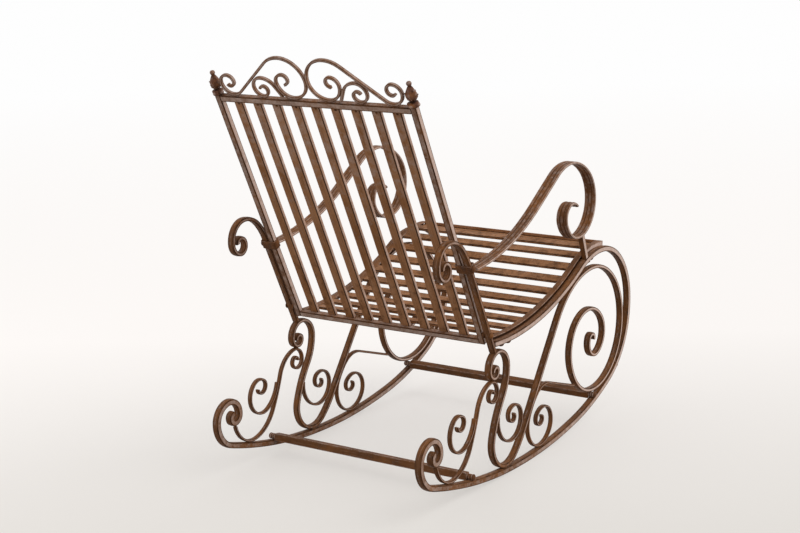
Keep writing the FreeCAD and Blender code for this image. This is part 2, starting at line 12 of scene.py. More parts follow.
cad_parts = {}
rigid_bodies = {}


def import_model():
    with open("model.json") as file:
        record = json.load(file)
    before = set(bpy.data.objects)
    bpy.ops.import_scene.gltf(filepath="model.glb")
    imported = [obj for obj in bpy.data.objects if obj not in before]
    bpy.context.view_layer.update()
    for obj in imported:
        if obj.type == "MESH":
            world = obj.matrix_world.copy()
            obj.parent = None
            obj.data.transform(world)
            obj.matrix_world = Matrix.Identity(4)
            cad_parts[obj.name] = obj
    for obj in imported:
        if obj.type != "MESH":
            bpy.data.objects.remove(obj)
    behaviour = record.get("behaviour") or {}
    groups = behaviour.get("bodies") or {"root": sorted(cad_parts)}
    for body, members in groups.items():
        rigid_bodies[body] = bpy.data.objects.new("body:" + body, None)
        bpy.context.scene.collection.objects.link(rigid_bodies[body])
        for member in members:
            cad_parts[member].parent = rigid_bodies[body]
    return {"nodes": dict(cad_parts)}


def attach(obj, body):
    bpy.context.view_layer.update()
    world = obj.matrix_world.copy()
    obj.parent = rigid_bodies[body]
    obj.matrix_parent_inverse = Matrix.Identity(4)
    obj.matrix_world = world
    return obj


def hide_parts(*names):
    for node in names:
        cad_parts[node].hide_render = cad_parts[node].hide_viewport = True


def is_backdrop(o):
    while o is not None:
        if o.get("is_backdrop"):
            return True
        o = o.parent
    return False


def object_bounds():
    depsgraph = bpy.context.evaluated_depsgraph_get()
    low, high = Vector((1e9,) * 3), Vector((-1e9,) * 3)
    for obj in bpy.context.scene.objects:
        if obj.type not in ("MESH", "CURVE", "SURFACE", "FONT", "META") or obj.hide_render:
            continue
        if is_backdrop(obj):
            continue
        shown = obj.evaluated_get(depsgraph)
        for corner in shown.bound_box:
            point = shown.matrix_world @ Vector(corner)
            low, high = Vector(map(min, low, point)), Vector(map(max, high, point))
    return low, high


bl_info = {
    "name": "Wrought Iron Rocking Chair",
    "version": (1, 0, 0),
    "blender": (4, 5, 0),
    "location": "View3D > Sidebar > Chair",
    "description": "Builds a garden rocking chair of bent iron bar with scrolls, slats and cast finials",
    "category": "Add Mesh",
}

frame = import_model()
CAD_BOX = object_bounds()
MM = 0.001

# Shape of the chair, in millimetres and degrees.
# "Forward" is measured from the foot of the leg bar's U-turn, positive towards the sitter's front.
# A bend is a radius and a turn, to the left when positive; a turn of 0 is a straight run of that length.
SIDES = {"right": -1, "left": 1}
SIDE_HALF_SPACING = 265
ORIGIN_FORWARD = 136.824

RUNNER_WIDTH = 15
RUNNER_THICK = 14
RUNNER_START = (-41.365, 311.085, -4.316)
SEAT_BENDS = [(740, 32.316), (215, -31)]
RUNNER_BENDS = SEAT_BENDS + [
    (155, -82), (195, -69), (680, -16), (1410, -13), (1250, -14.6), (61, -74.4),
    (42, -90), (34, -90), (18, -90), (13, -90), (9, -90),
]

LEG_WIDTH = 15
LEG_THICK = 10
LEG_START = (-48.9, 248.1, 91)
LEG_BENDS = [
    (10, -182), (14, -91), (20, -87), (36, -93), (43, -91), (115, -33), (305, 18), (59, 146), (205, 15.48),
    (280.9, 0), (214.7, -50), (166.8, -53.1), (148.1, -139.1), (120.4, -68.7), (90.4, -156.6), (52.9, -103.7),
    (32.9, -134.6), (13.7, -99.9), (9, -90),
]

SCROLL_WIDTH = 10
SCROLL_THICK = 6
THIN_SCROLLS = {
    "rear_s_scroll": (-42.946, 198.417, -273, [
        (9, 120), (13, 100), (19, 133), (27, 113), (71, 58.4), (480, -10), (95, -45), (63, -93.2)]),
    "rear_c_scroll": (-123.5, 165.7, -102, [(80, -46), (42, -174), (29, -72), (16, -165), (10, -80)]),
    "inner_c_scroll": (-23.6, 139.4, -99, [(60, 91), (46, 96), (33, 122), (17, 163), (9, 128)]),
    "front_c_scroll": (331.3, 117.5, 162, [
        (127.9, 0), (63, 59), (145, 21), (57, 176), (40, 166), (16, 185), (9, 100)]),
}

POST_THICK = 10
POST_FOOT = -16.8
POST_OUT = 5
POST_BENDS = [(238.4, 0), (140, 20), (65, 48), (45, 94), (27, 72), (18, 180), (11, 110)]

ARM_WIDTH = 28
ARM_THICK = 6
REED_RISE = 1.6
ARM_START = (-125.55, 494.08, 3.621)
ARM_BENDS = [(580, 28.379), (101, 0), (130, -76), (88, -42), (80, -96), (65, -64), (33, -161)]
ARM_POST_SIDE = 12
ARM_POST_TALL = 66.1
ARM_POST_HEADING = 110
ARM_POST_STATION = 449

BACK_TILT = 25.5
PANEL_FORWARD = -53.9
PANEL_HEIGHT = 305.7
PANEL_DEPTH = 13
STILE_HALF_SPACING = 246
STILE_WIDTH = 14
STILE_FOOT = 5
STILE_HEAD = 604
RAIL_TALL = 14
BACK_SLATS = 9
BACK_SLAT_PITCH = 50
BACK_SLAT_WIDTH = 23
BACK_SLAT_THICK = 6
COLLAR_WALL = 3
COLLAR_TALL = 20
COLLAR_FOOT = 200

CREST_THICK = 6
CREST_DEPTH = 7
CREST_START = (59, 638.1, 180)
CREST_BENDS = [
    (11, -90), (12, -90), (19, -90), (35, -90), (41, -90), (53, -90), (60, -40), (113.4, 0), (30, 40),
    (26, 90), (20, 90), (15, 90), (11, 90), (9, 60),
]
SMALL_CREST_START = (73, 607.3, 62)
SMALL_CREST_BENDS = [(28, 0), (36, -62), (24, -90), (20, -90), (14, -90), (10, -90), (9, -70)]

FINIAL_TALL = 56
FINIAL_LEAN = 5

SEAT_SLATS = 10
SEAT_SLAT_WIDTH = 24
SEAT_SLAT_THICK = 6
SEAT_SLAT_DROP = 1
SEAT_SLAT_PITCH = 49
SEAT_FIRST_SLAT = 59
SEAT_RISE = 5
SEAT_RAIL_TALL = 13
SEAT_RAIL_FLANGE = 14.5
SEAT_RAIL_WALL = 4
SEAT_RAIL_OVER = RUNNER_THICK / 2 + SEAT_RISE
SEAT_RAIL_BENDS = [(SEAT_BENDS[0][0] - SEAT_RAIL_OVER, SEAT_BENDS[0][1]), (255, -33.2)]
FRONT_RAIL_DEPTH = 24
FRONT_RAIL_TALL = 12
FRONT_RAIL_WALL = 4

STRETCHER_SIDE = 17
SLEEVE_RADIUS = 6.5
STRETCHER_STATIONS = {"front_stretcher": 1073, "rear_stretcher": 1659}

ACROSS = Vector((1, 0, 0))
TILT = math.radians(BACK_TILT)
PANEL_UP = Vector((0, math.sin(TILT), math.cos(TILT)))
PANEL_OUT = Vector((0, -math.cos(TILT), math.sin(TILT)))


def linear(code):
    """Linear colour of an sRGB hex code, with full alpha."""
    channels = [int(code[start:start + 2], 16) / 255 for start in (1, 3, 5)]
    return [c / 12.92 if c <= 0.04045 else ((c + 0.055) / 1.055) ** 2.4 for c in channels] + [1.0]


def length_prop(name, description, default):
    return FloatProperty(name=name, description=description, default=default, min=0.0, unit="LENGTH")


def colour_prop(name, description, code):
    return FloatVectorProperty(
        name=name, description=description, default=linear(code), size=4, min=0.0, max=1.0, subtype="COLOR")


class ChairSizes(bpy.types.PropertyGroup):
    """Fine sizes of the forged work"""

    bar_round: length_prop("Bar rounding", "Rounding of the corners of the heavy bars", 1.2 * MM)
    strip_round: length_prop("Strip rounding", "Rounding of the corners of scrolls and slats", 0.9 * MM)
    bar_ridge: length_prop("Bar ridge", "Rise of the line along the middle of the heavy bars", 0.8 * MM)
    scroll_ridge: length_prop("Scroll ridge", "Rise of the line along the middle of the scrolls", 0.5 * MM)
    forge_wave: length_prop("Forge wave", "How far hammer work moves a bar from its true line", 0.2 * MM)
    station_step: length_prop("Station step", "Distance between the sections of a swept bar", 6 * MM)
    weld_radius: length_prop("Weld radius", "Radius of the weld beads", 2.2 * MM)
    finial_leaves: IntProperty(
        name="Finial leaves", description="Curled leaves round the bud of a finial", default=4, min=2, max=8)
    floor_side: length_prop("Floor", "Side of the square of floor that the chair stands on", 60.0)


class ChairColours(bpy.types.PropertyGroup):
    """Colours of the antique finish and the floor"""

    enamel: colour_prop("Enamel", "Brown enamel on slats", "#A0714E")
    bar: colour_prop("Bar enamel", "Darker brown enamel on bars and scrolls", "#6A462C")
    russet: colour_prop("Russet", "Redder patches in the enamel", "#84552F")
    # Patina is also the colour of painted shade where a face's wear is set below 0 for it
    patina: colour_prop("Patina", "Dark antique glaze left in hollows and patches", "#1E0D05")
    # Worn edge: rubbed highlight on edges; on narrow faces it is also the painted highlight of the side lamp
    worn: colour_prop("Worn edge", "Pale highlight brushed on narrow faces and edges", "#CDB4A7")
    cast: colour_prop("Cast enamel", "Brown enamel on the cast finials", "#6C4939")
    fastener: colour_prop("Fastener", "Darker enamel on bolts and collars", "#5C3B26")
    # Floor near: painted shade, the floor greyer on the camera's side
    floor_near_painted_shade: colour_prop("Floor near", "Warm grey of the floor on the camera's side", "#E5E1DC")
    floor_far: colour_prop("Floor far", "Pale warm white of the floor behind the chair", "#FCF8F5")
    floor_edge: colour_prop("Floor edge", "White of the floor far away", "#FFFFFF")


# Materials

def add_node(tree, made, label, kind, settings, links):
    """Add a node, set its own values and its inputs, and link it to nodes made before it."""
    node = made[label] = tree.nodes.new(kind)
    for key, value in settings.items():
        if isinstance(key, int) or key in node.inputs:
            node.inputs[key].default_value = value
        else:
            setattr(node, key, value)
    for key, (source, output) in links.items():
        tree.links.new(made[source].outputs[output], node.inputs[key])


def new_surface(holder, rows):
    """Give a material or a world the nodes that the rows list."""
    holder.use_nodes = True
    tree = holder.node_tree
    tree.nodes.clear()
    made = {}
    for row in rows:
        add_node(tree, made, *row)
    return holder


def enamel_rows(ground, pattern):
    """Nodes of enamel brushed over metal and glazed darker, with its patterns sized in millimetres.

    A row is a label, the kind of node, its settings and its links. The paint goes on in layers: russet
    patches, streaks, dark glaze, pale rubbed highlights that also carry painted light, glaze in the hollows
    that also carries painted shade, and grit.
    """
    colours = bpy.context.scene.chair_colours
    russet, patina, worn = tuple(colours.russet), tuple(colours.patina), tuple(colours.worn)
    noise_kind, share_kind = "ShaderNodeTexNoise", "ShaderNodeMapRange"
    low_gloss, high_gloss = pattern["gloss"]
    rows = [
        ("place", "ShaderNodeTexCoord", {}, {}),
        ("wear", "ShaderNodeAttribute", {"attribute_name": "wear"}, {}),
        ("along", "ShaderNodeMapping", {"Scale": (1 / pattern["draw"], 1, 1)}, {"Vector": ("place", "UV")}),
    ]
    for label, detail, roughness, source in (
        ("blotch", 3.0, 0.6, ("place", "Object")),
        ("glaze", 5.0, 0.68, ("place", "Object")),
        ("grit", 2.0, 0.6, ("place", "Object")),
        ("streak", 3.0, 0.6, ("along", "Vector")),
    ):
        scale = 1 / (pattern[label] * MM)
        rows.append((label, noise_kind, {"Scale": scale, "Detail": detail, "Roughness": roughness},
                     {"Vector": source}))
    for label, source, span in (
        ("russet_share", "blotch", (0.42, 0.66, 0.0, 0.8)),
        ("streak_share", "streak", (0.52, 0.72, 0.0, pattern["streak_depth"])),
        ("glaze_share", "glaze", (0.50, 0.68, 0.0, pattern["glaze_depth"])),
        ("light_share", "streak", (0.46, 0.28, 0.0, pattern["light_depth"])),
        ("grit_share", "grit", (0.60, 0.74, 0.0, 0.5)),
        ("ragged", "glaze", (0.35, 0.65, -0.22, 0.18)),
        ("roughness", "glaze", (0.3, 0.7, low_gloss, high_gloss)),
    ):
        settings = dict(zip(("From Min", "From Max", "To Min", "To Max"), span))
        rows.append((label, share_kind, settings, {"Value": (source, "Fac")}))
    rows += [
        ("rubbed", "ShaderNodeMath", {"operation": "ADD"}, {0: ("wear", "Fac"), 1: ("ragged", "Result")}),
        ("rubbed_share", share_kind, {"From Min": 0.1, "From Max": 0.8, "To Max": 0.92},
         {"Value": ("rubbed", 0)}),
        ("hollow", "ShaderNodeMath", {"operation": "SUBTRACT"},
         {0: ("wear", "Fac"), 1: ("ragged", "Result")}),
        ("hollow_share", share_kind, {"From Min": -0.1, "From Max": -0.7, "To Max": 0.9},
         {"Value": ("hollow", 0)}),
    ]
    under = None
    for label, share, colour in (
        ("russet_paint", "russet_share", russet),
        ("streak_paint", "streak_share", patina),
        ("glaze_paint", "glaze_share", patina),
        ("light_paint", "light_share", worn),
        # The next two layers: rubbed highlights with painted light, and glaze in hollows with painted shade
        ("rubbed_and_lit_paint", "rubbed_share", worn),
        ("glaze_and_shade_paint", "hollow_share", patina),
        ("grit_paint", "grit_share", patina),
    ):
        links = {0: (share, "Result")}
        if under:
            links[6] = (under, 2)
        rows.append((label, "ShaderNodeMix", {"data_type": "RGBA", 6: tuple(ground), 7: colour}, links))
        under = label
    rows += [
        ("relief", "ShaderNodeMath", {"operation": "MULTIPLY_ADD", 1: 0.5},
         {0: ("grit", "Fac"), 2: ("glaze", "Fac")}),
        ("bump", "ShaderNodeBump", {"Strength": 0.6, "Distance": pattern["relief"] * MM},
         {"Height": ("relief", 0)}),
        ("shader", "ShaderNodeBsdfPrincipled", {"IOR": 1.5, "Metallic": 0.0, "Specular IOR Level": 0.06},
         {"Base Color": (under, 2), "Roughness": ("roughness", "Result"), "Normal": ("bump", "Normal")}),
        ("out", "ShaderNodeOutputMaterial", {}, {"Surface": ("shader", "BSDF")}),
    ]
    return rows


# Sizes of the patterns in each finish: patches, glaze, grit and streaks in millimetres, the drawing-out
# of the streaks along the bar, and how rough the enamel is where it is smooth and where it is dull.
# Grit of a brushed enamel is finer than a pixel here, so it is drawn about three times too coarse.
BAR_PATTERN = {
    "blotch": 70, "glaze": 14, "grit": 1.8, "streak": 3.0, "draw": 14, "streak_depth": 0.35,
    "glaze_depth": 0.45, "light_depth": 0.15, "gloss": (0.40, 0.62), "relief": 0.5,
}
STRIP_PATTERN = {
    "blotch": 90, "glaze": 20, "grit": 1.5, "streak": 2.4, "draw": 28, "streak_depth": 0.45,
    "glaze_depth": 0.25, "light_depth": 0.15, "gloss": (0.42, 0.64), "relief": 0.35,
}
CAST_PATTERN = {
    "blotch": 25, "glaze": 7, "grit": 1.4, "streak": 4.0, "draw": 1, "streak_depth": 0.2,
    "glaze_depth": 0.70, "light_depth": 0.15, "gloss": (0.42, 0.66), "relief": 0.8,
}
FASTENER_PATTERN = {
    "blotch": 30, "glaze": 9, "grit": 1.4, "streak": 4.0, "draw": 1, "streak_depth": 0.2,
    "glaze_depth": 0.50, "light_depth": 0.10, "gloss": (0.40, 0.60), "relief": 0.3,
}

# Forged bar: mottled brown with dark glaze in patches, a dark line along its corners, and pale narrow faces,
# rubbed and with the side lamp's highlight painted in.
# Rolled strip: the same enamel brushed lengthwise, so it shows fine streaks.
# Cast iron: pitted skin with the glaze dark in its hollows.
# Pressed steel: plain dark enamel, a little smoother.
FINISHES = {
    "frame_bar": ("antique_enamel_on_forged_bar", "bar", BAR_PATTERN),
    "scroll_bar": ("antique_enamel_on_drawn_scroll_bar", "bar", BAR_PATTERN),
    "slat_strip": ("antique_enamel_on_rolled_strip", "enamel", STRIP_PATTERN),
    "finial_casting": ("antique_enamel_on_sand_cast_iron", "cast", CAST_PATTERN),
    "fastener": ("dark_enamel_on_pressed_steel", "fastener", FASTENER_PATTERN),
}


def finish_for(slot):
    """Material of a slot, made once."""
    name, ground, pattern = FINISHES[slot]
    made = bpy.data.materials.get(name)
    if made:
        return made
    rows = enamel_rows(getattr(bpy.context.scene.chair_colours, ground), pattern)
    return new_surface(bpy.data.materials.new(name), rows)


# Bends, places and sections

TURN_STEP = 7


def bend_stations(bends, start, step):
    """Stations along a bent bar: forward, height, heading and distance gone."""
    forward, height, heading = start
    gone = 0.0
    stations = [(forward, height, heading, gone)]
    for amount, turn in bends:
        length = amount * math.radians(abs(turn)) if turn else amount
        count = max(1, math.ceil(length / step), math.ceil(abs(turn) / TURN_STEP))
        turned = math.radians(turn) / count
        chord = 2 * amount * math.sin(abs(turned) / 2) if turn else length / count
        for number in range(count):
            ahead = math.radians(heading) + turned / 2
            forward += chord * math.cos(ahead)
            height += chord * math.sin(ahead)
            heading += turn / count
            gone += length / count
            stations.append((forward, height, heading, gone))
    return stations


def bar_station(start, bends, distance, over):
    """Point and heading at a distance along a bent bar, moved over towards its left side."""
    forward, height, heading = start
    for radius, turn in bends:
        length = radius * math.radians(abs(turn))
        if distance <= 0:
            break
        part = (radius, turn * min(1.0, distance / length))
        forward, height, heading, gone = bend_stations([part], (forward, height, heading), length)[-1]
        distance -= length
    ahead = math.radians(heading)
    return forward - over * math.sin(ahead), height + over * math.cos(ahead), heading


def runner_station(distance, over):
    return bar_station(RUNNER_START, RUNNER_BENDS, distance, over)


def side_point(x, forward, height):
    return Vector((x, ORIGIN_FORWARD - forward, height))


def side_directions(heading):
    """Forward and rising directions of a bar in a side frame."""
    ahead = math.radians(heading)
    return Vector((0, -math.cos(ahead), math.sin(ahead))), Vector((0, math.sin(ahead), math.cos(ahead)))


def panel_point(across, up, out):
    foot = Vector((across, ORIGIN_FORWARD - PANEL_FORWARD, PANEL_HEIGHT))
    return foot + PANEL_UP * up + PANEL_OUT * out


def side_rings(side, stations, outward=0):
    """Rings of a bar bent in the plane of a side frame: centre, across, rising and distance gone."""
    x = side * (SIDE_HALF_SPACING + outward)
    return [
        (side_point(x, forward, height), ACROSS, side_directions(heading)[1], gone)
        for forward, height, heading, gone in stations
    ]


def crest_rings(side, stations):
    """Rings of a bar bent in the plane of the back."""
    rings = []
    for across, up, heading, gone in stations:
        ahead = math.radians(heading)
        rising = ACROSS * (-side * math.sin(ahead)) + PANEL_UP * math.cos(ahead)
        rings.append((panel_point(side * across, up, PANEL_DEPTH / 2), PANEL_OUT, rising, gone))
    return rings


def straight_rings(start, end, across, rising, step):
    length = (end - start).length
    count = max(1, math.ceil(length / step))
    shares = [number / count for number in range(count + 1)]
    return [(start.lerp(end, share), across, rising, length * share) for share in shares]


# The largest share of a side that a corner's rounding takes, how many roundings away the wear of the face
# begins, and the steps round a corner
CORNER_SHARE = 0.22
FACE_FROM = 2.2
CORNER_STEPS = (0.0, 0.33, 0.67, 1.0)


def rounded_section(corners, rounding):
    """Outline of a section with rounded corners, as across, rising and wear of each point.

    A corner is across, rising, its own wear and the wear of the face that follows it.
    Wear above 0 is a pale rubbed highlight, below 0 dark glaze; on some faces they are painted light and
    painted shade.
    """
    points = []
    for number, (across, rising, worn, face_worn) in enumerate(corners):
        here = Vector((across, rising))
        before = Vector(corners[number - 1][:2]) - here
        after = Vector(corners[(number + 1) % len(corners)][:2]) - here
        reach = min(rounding, before.length * CORNER_SHARE, after.length * CORNER_SHARE)
        first, second = before.normalized(), after.normalized()
        points.append((*(here + first * reach * FACE_FROM), corners[number - 1][3]))
        for share in CORNER_STEPS:
            bow = here + first * reach * (1 - share) ** 2 + second * reach * share ** 2
            points.append((*bow, worn))
        points.append((*(here + second * reach * FACE_FROM), face_worn))
    return points


# Wear of the pale narrow faces, rubbed and with the side lamp's highlight painted in, of the corners of bars,
# and of the ridge along their broad faces
RUBBED_AND_LIT_FACE = 0.8
DARK_CORNER = -0.5
RIDGE_WEAR = 0.15
# Wear of plain bars: their corners, narrow faces and broad faces
PLAIN_WEAR = {
    "collar": (0.2, -0.2, 0.0),
    "arm_post": (DARK_CORNER, RUBBED_AND_LIT_FACE, 0.0),
    # Seat slats: their narrow faces are darkened, painted shade on the rear edges that face down away from
    # the lamp
    "seat_slat": (-0.7, -0.2, -0.2),
    # Stiles, rails and crest: broad faces paler, painted light on the rear faces of the back; narrow faces
    # pale
    "back_stile": (DARK_CORNER, RUBBED_AND_LIT_FACE, 0.33),
    "back_rail": (DARK_CORNER, 0.5, 0.3),
    "crest": (0.1, 0.45, 0.4),
    "stretcher": (0.3, 0.0, 0.0),
}
# Back slats: wear of their narrow faces, pale, rubbed and with the side lamp's highlight painted in, and of
# the dark line on the rear face, and how far in that line lies
SLAT_NARROW_RUBBED_AND_LIT = 0.55
SLAT_LINE = -1.0
SLAT_LINE_INSET = 3.0
# Wear along bars, as distance gone and wear. The narrow faces of the runner, the leg and the post carry
# painted
# light over their rubbed highlight: pale above and in front, where the lamp falls more, and painted shade,
# brown low at the rear. The back slats' broad faces are darker at the foot and paler towards the head.
RUNNER_RUBBED_AND_PAINTED_LIGHT = [
    (0, 0.7), (400, 0.8), (1000, 0.8), (1250, 0.5), (1450, 0.3), (1550, 0.18), (1780, 0.2), (1850, 0.4)]
LEG_RUBBED_AND_PAINTED_LIGHT = [
    (0, 0.5), (300, 0.55), (380, 0.5), (427, 0.2), (500, 0.15), (560, 0.35), (680, 0.5), (800, 0.65),
    (1000, 0.8)]
POST_RUBBED_AND_PAINTED_LIGHT = [(0, 0.2), (240, 0.25), (600, 0.6)]
BACK_SLAT_TONE_ALONG = [(0, -0.15), (200, 0.0), (330, 0.1), (450, 0.22), (580, 0.27)]
# Narrow faces of the thin scrolls: pale, rubbed and with the side lamp's highlight painted in
SCROLL_RUBBED_AND_LIT = 0.42


def graded(knots):
    """Wear that changes along a bar: straight lines between distances gone and their wear."""
    def wear(gone):
        for (start, worn), (end, next_worn) in zip(knots, knots[1:]):
            if gone <= end:
                return worn + (next_worn - worn) * (gone - start) / (end - start)
        return knots[-1][1]
    return wear


def ridged_section(width, thick, rise, rounding, narrow):
    """Flat bar whose broad faces rise to a line along the middle, with the wear of its narrow faces."""
    flat = thick / 2 - rise
    corners = [
        (-width / 2, -flat, DARK_CORNER, 0.0), (0, -thick / 2, RIDGE_WEAR, 0.0),
        (width / 2, -flat, DARK_CORNER, narrow), (width / 2, flat, DARK_CORNER, 0.0),
        (0, thick / 2, RIDGE_WEAR, 0.0), (-width / 2, flat, DARK_CORNER, narrow),
    ]
    return rounded_section(corners, rounding)


def plain_section(kind, width, thick, rounding):
    """Plain bar with the wear of its kind."""
    corner, narrow, broad = PLAIN_WEAR[kind]
    corners = [
        (-width / 2, -thick / 2, corner, broad), (width / 2, -thick / 2, corner, narrow),
        (width / 2, thick / 2, corner, broad), (-width / 2, thick / 2, corner, narrow),
    ]
    return rounded_section(corners, rounding)


def lined_section(width, thick, rounding, narrow, broad):
    """Slat of the back: pale narrow faces, rubbed and with the side lamp's highlight painted in, and a dark
    line beside one of them on the rear face.
    """
    corners = [
        (-width / 2, -thick / 2, narrow, SLAT_LINE),
        (SLAT_LINE_INSET - width / 2, -thick / 2, SLAT_LINE, broad),
        (width / 2, -thick / 2, 0.0, narrow), (width / 2, thick / 2, narrow, broad),
        (-width / 2, thick / 2, narrow, narrow),
    ]
    return rounded_section(corners, rounding)


# Reeds of the arm: points across one, how much lower the lower ones are, and how full they are
REED_POINTS = 7
LOWER_REED_SHARE = 0.6
REED_FULLNESS = 0.7
# Wear of the reeds: in the grooves, how fast it rises, and at most; and down the arm's edge from its rim
GROOVE_WEAR = -0.6
REED_WEAR_RISE = 1.6
REED_WEAR_MOST = 0.2
RIM_WEAR, BELOW_RIM_WEAR, EDGE_WEAR = 0.9, 0.6, 0.2


def reeded_section(rounding):
    """Arm section: three full reeds above and three lower ones below, with glaze between them."""
    points = []
    reed = ARM_WIDTH / 3
    for face, rise in ((-1, REED_RISE * LOWER_REED_SHARE), (1, REED_RISE)):
        shoulder = ARM_THICK / 2 - rise
        for number in range(3):
            for step in range(REED_POINTS):
                turn = step / REED_POINTS
                lift = math.sin(math.pi * turn)
                across = reed * (number + turn) - ARM_WIDTH / 2
                at_rim = number == 0 and step == 0
                worn = RIM_WEAR if at_rim else min(lift * REED_WEAR_RISE + GROOVE_WEAR, REED_WEAR_MOST)
                points.append((-face * across, face * (shoulder + rise * lift ** REED_FULLNESS), worn))
        edge = -face * ARM_WIDTH / 2
        points.append((edge, face * shoulder, RIM_WEAR))
        points.append((edge, face * (shoulder - rounding), BELOW_RIM_WEAR))
        points.append((edge, 0, EDGE_WEAR))
    return points


# Meshes

# Lengths of the hammer waves across and up a bar, in millimetres, with their places in the noise
WAVES = ((45, 0), (60, 9))
END_WEAR = 0.3


def sweep(name, rings, section, seed=0.0, wave=0.0, closed=False, swell=None):
    """Mesh of a section carried along rings, with rounded ends, a UV in metres and the wear of each point."""
    if not closed:
        rings = with_rounded_ends(rings)
    else:
        rings = [(*ring, 1.0) for ring in rings]
    total = rings[-1][3] or 1.0
    points, wears = [], []
    for centre, across, rising, gone, shrink in rings:
        drift = [wave * noise.noise(Vector((gone / length, seed, shift))) for length, shift in WAVES]
        wide, thick = swell(gone / total) if swell else (1.0, 1.0)
        middle = centre + across * drift[0] + rising * drift[1]
        for side, lift, worn in section:
            points.append((middle + across * side * shrink * wide + rising * lift * shrink * thick) * MM)
            wears.append(worn(gone) if callable(worn) else worn)
    size = len(section)
    spans = len(rings) if closed else len(rings) - 1
    faces = []
    for row in range(spans):
        here, there = row * size, (row + 1) % len(rings) * size
        for number in range(size):
            following = (number + 1) % size
            faces.append((here + number, here + following, there + following, there + number))
    if not closed:
        for start, centre in ((0, rings[0][0]), ((len(rings) - 1) * size, rings[-1][0])):
            hub = len(points)
            points.append(centre * MM)
            wears.append(END_WEAR)
            for number in range(size):
                faces.append((hub, start + number, start + (number + 1) % size))
    mesh = new_mesh(name, points, faces, wears)
    lay_uv(mesh, section, rings, closed)
    return mesh


END_ROUNDS = ((0.0, 0.86), (0.35, 0.94), (1.0, 1.0))
END_ROUND_LENGTH = 1.2
END_ROUND_SHARE = 0.2


def with_rounded_ends(rings):
    """The rings of an open bar with its two ends drawn in a little, and the shrink of each ring."""
    length = rings[-1][3]
    reach = min(END_ROUND_LENGTH, length * END_ROUND_SHARE)
    middle = [(*ring, 1.0) for ring in rings if reach < ring[3] < length - reach]
    head, tail = [], []
    for share, shrink in END_ROUNDS:
        for end, at, grown in ((rings[0], reach * share, head), (rings[-1], length - reach * share, tail)):
            near = rings[1] if grown is head else rings[-2]
            inward = (near[0] - end[0]).normalized()
            grown.append((end[0] + inward * reach * share, end[1], end[2], at, shrink))
    return head + middle + tail[::-1]


def new_mesh(name, points, faces, wears):
    mesh = bpy.data.meshes.new(name)
    mesh.from_pydata(points, [], faces)
    attribute = mesh.attributes.new("wear", "FLOAT", "POINT")
    attribute.data.foreach_set("value", wears)
    shape = bmesh.new()
    shape.from_mesh(mesh)
    bmesh.ops.recalc_face_normals(shape, faces=shape.faces)
    shape.to_mesh(mesh)
    shape.free()
    mesh.shade_smooth()
    return mesh


def lay_uv(mesh, section, rings, closed):
    """UV in metres: along the bar, and round its section."""
    size = len(section)
    round_at = [0.0]
    for number in range(size):
        here, there = Vector(section[number][:2]), Vector(section[(number + 1) % size][:2])
        round_at.append(round_at[-1] + (there - here).length)
    layer = mesh.uv_layers.new(name="bar").data
    for face in mesh.polygons:
        rows = [mesh.loops[index].vertex_index for index in face.loop_indices]
        columns = [row % size for row in rows]
        wraps = max(columns) == size - 1 and min(columns) == 0
        for index, vertex in zip(face.loop_indices, rows):
            ring = min(vertex // size, len(rings) - 1)
            column = vertex % size
            around = round_at[size] if wraps and column == 0 else round_at[column]
            layer[index].uv = (rings[ring][3] * MM, around * MM)


def finish_piece(name, mesh, slot, *nodes):
    """Link a piece, paint it, and let it stand for its nodes."""
    piece = bpy.data.objects.new(name, mesh)
    bpy.context.scene.collection.objects.link(piece)
    mesh.materials.append(finish_for(slot))
    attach(piece, "root")
    if nodes:
        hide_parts(*nodes)
    return piece


def joined(name, meshes):
    """One mesh from several."""
    shape = bmesh.new()
    for mesh in meshes:
        shape.from_mesh(mesh)
        bpy.data.meshes.remove(mesh)
    whole = bpy.data.meshes.new(name)
    shape.to_mesh(whole)
    shape.free()
    return whole


# How much more the lobes of a turned shape are worn than its hollows, for the share that they stand out
LOBE_WEAR = 2


def lathe(name, profile, base, axis, first, second, segments, lobes=0):
    """Mesh turned about an axis. A profile row is height, radius, lobe share and wear."""
    points, wears, faces = [], [], []
    for height, radius, depth, worn in profile:
        for number in range(segments):
            angle = 2 * math.pi * number / segments
            bulge = depth * math.cos(lobes * angle)
            outward = first * math.cos(angle) + second * math.sin(angle)
            points.append((base + axis * height + outward * (radius * (1 + bulge))) * MM)
            wears.append(worn + LOBE_WEAR * bulge)
    for row in range(len(profile) - 1):
        for number in range(segments):
            following = (number + 1) % segments
            here, there = row * segments, (row + 1) * segments
            faces.append((here + number, here + following, there + following, there + number))
    faces.append(tuple(range(segments)))
    faces.append(tuple(range((len(profile) - 1) * segments, len(profile) * segments)))
    return new_mesh(name, points, faces, wears)


# Pieces

# Step of the seed from piece to piece, how many steps long the sections of straight bars are, the share of a
# strip's rounding that collars and arms have, and the bend of a collar in walls
SEED_STEP = 1.37
STRAIGHT_STEPS = 4
COLLAR_ROUND_SHARE = 0.7
ARM_ROUND_SHARE = 0.8
COLLAR_BEND = 0.9


class ChairOperator:
    """Common reading of the sizes, in millimetres."""

    bl_options = {"REGISTER", "UNDO"}

    def amount(self, name):
        return getattr(bpy.context.scene.chair_sizes, name) / MM

    def amounts(self, *names):
        return [self.amount(name) for name in names]

    def bent(self, name, rings, section, slot, *nodes):
        seed = len(bpy.data.objects) * SEED_STEP
        return finish_piece(name, sweep(name, rings, section, seed, self.amount("forge_wave")), slot, *nodes)


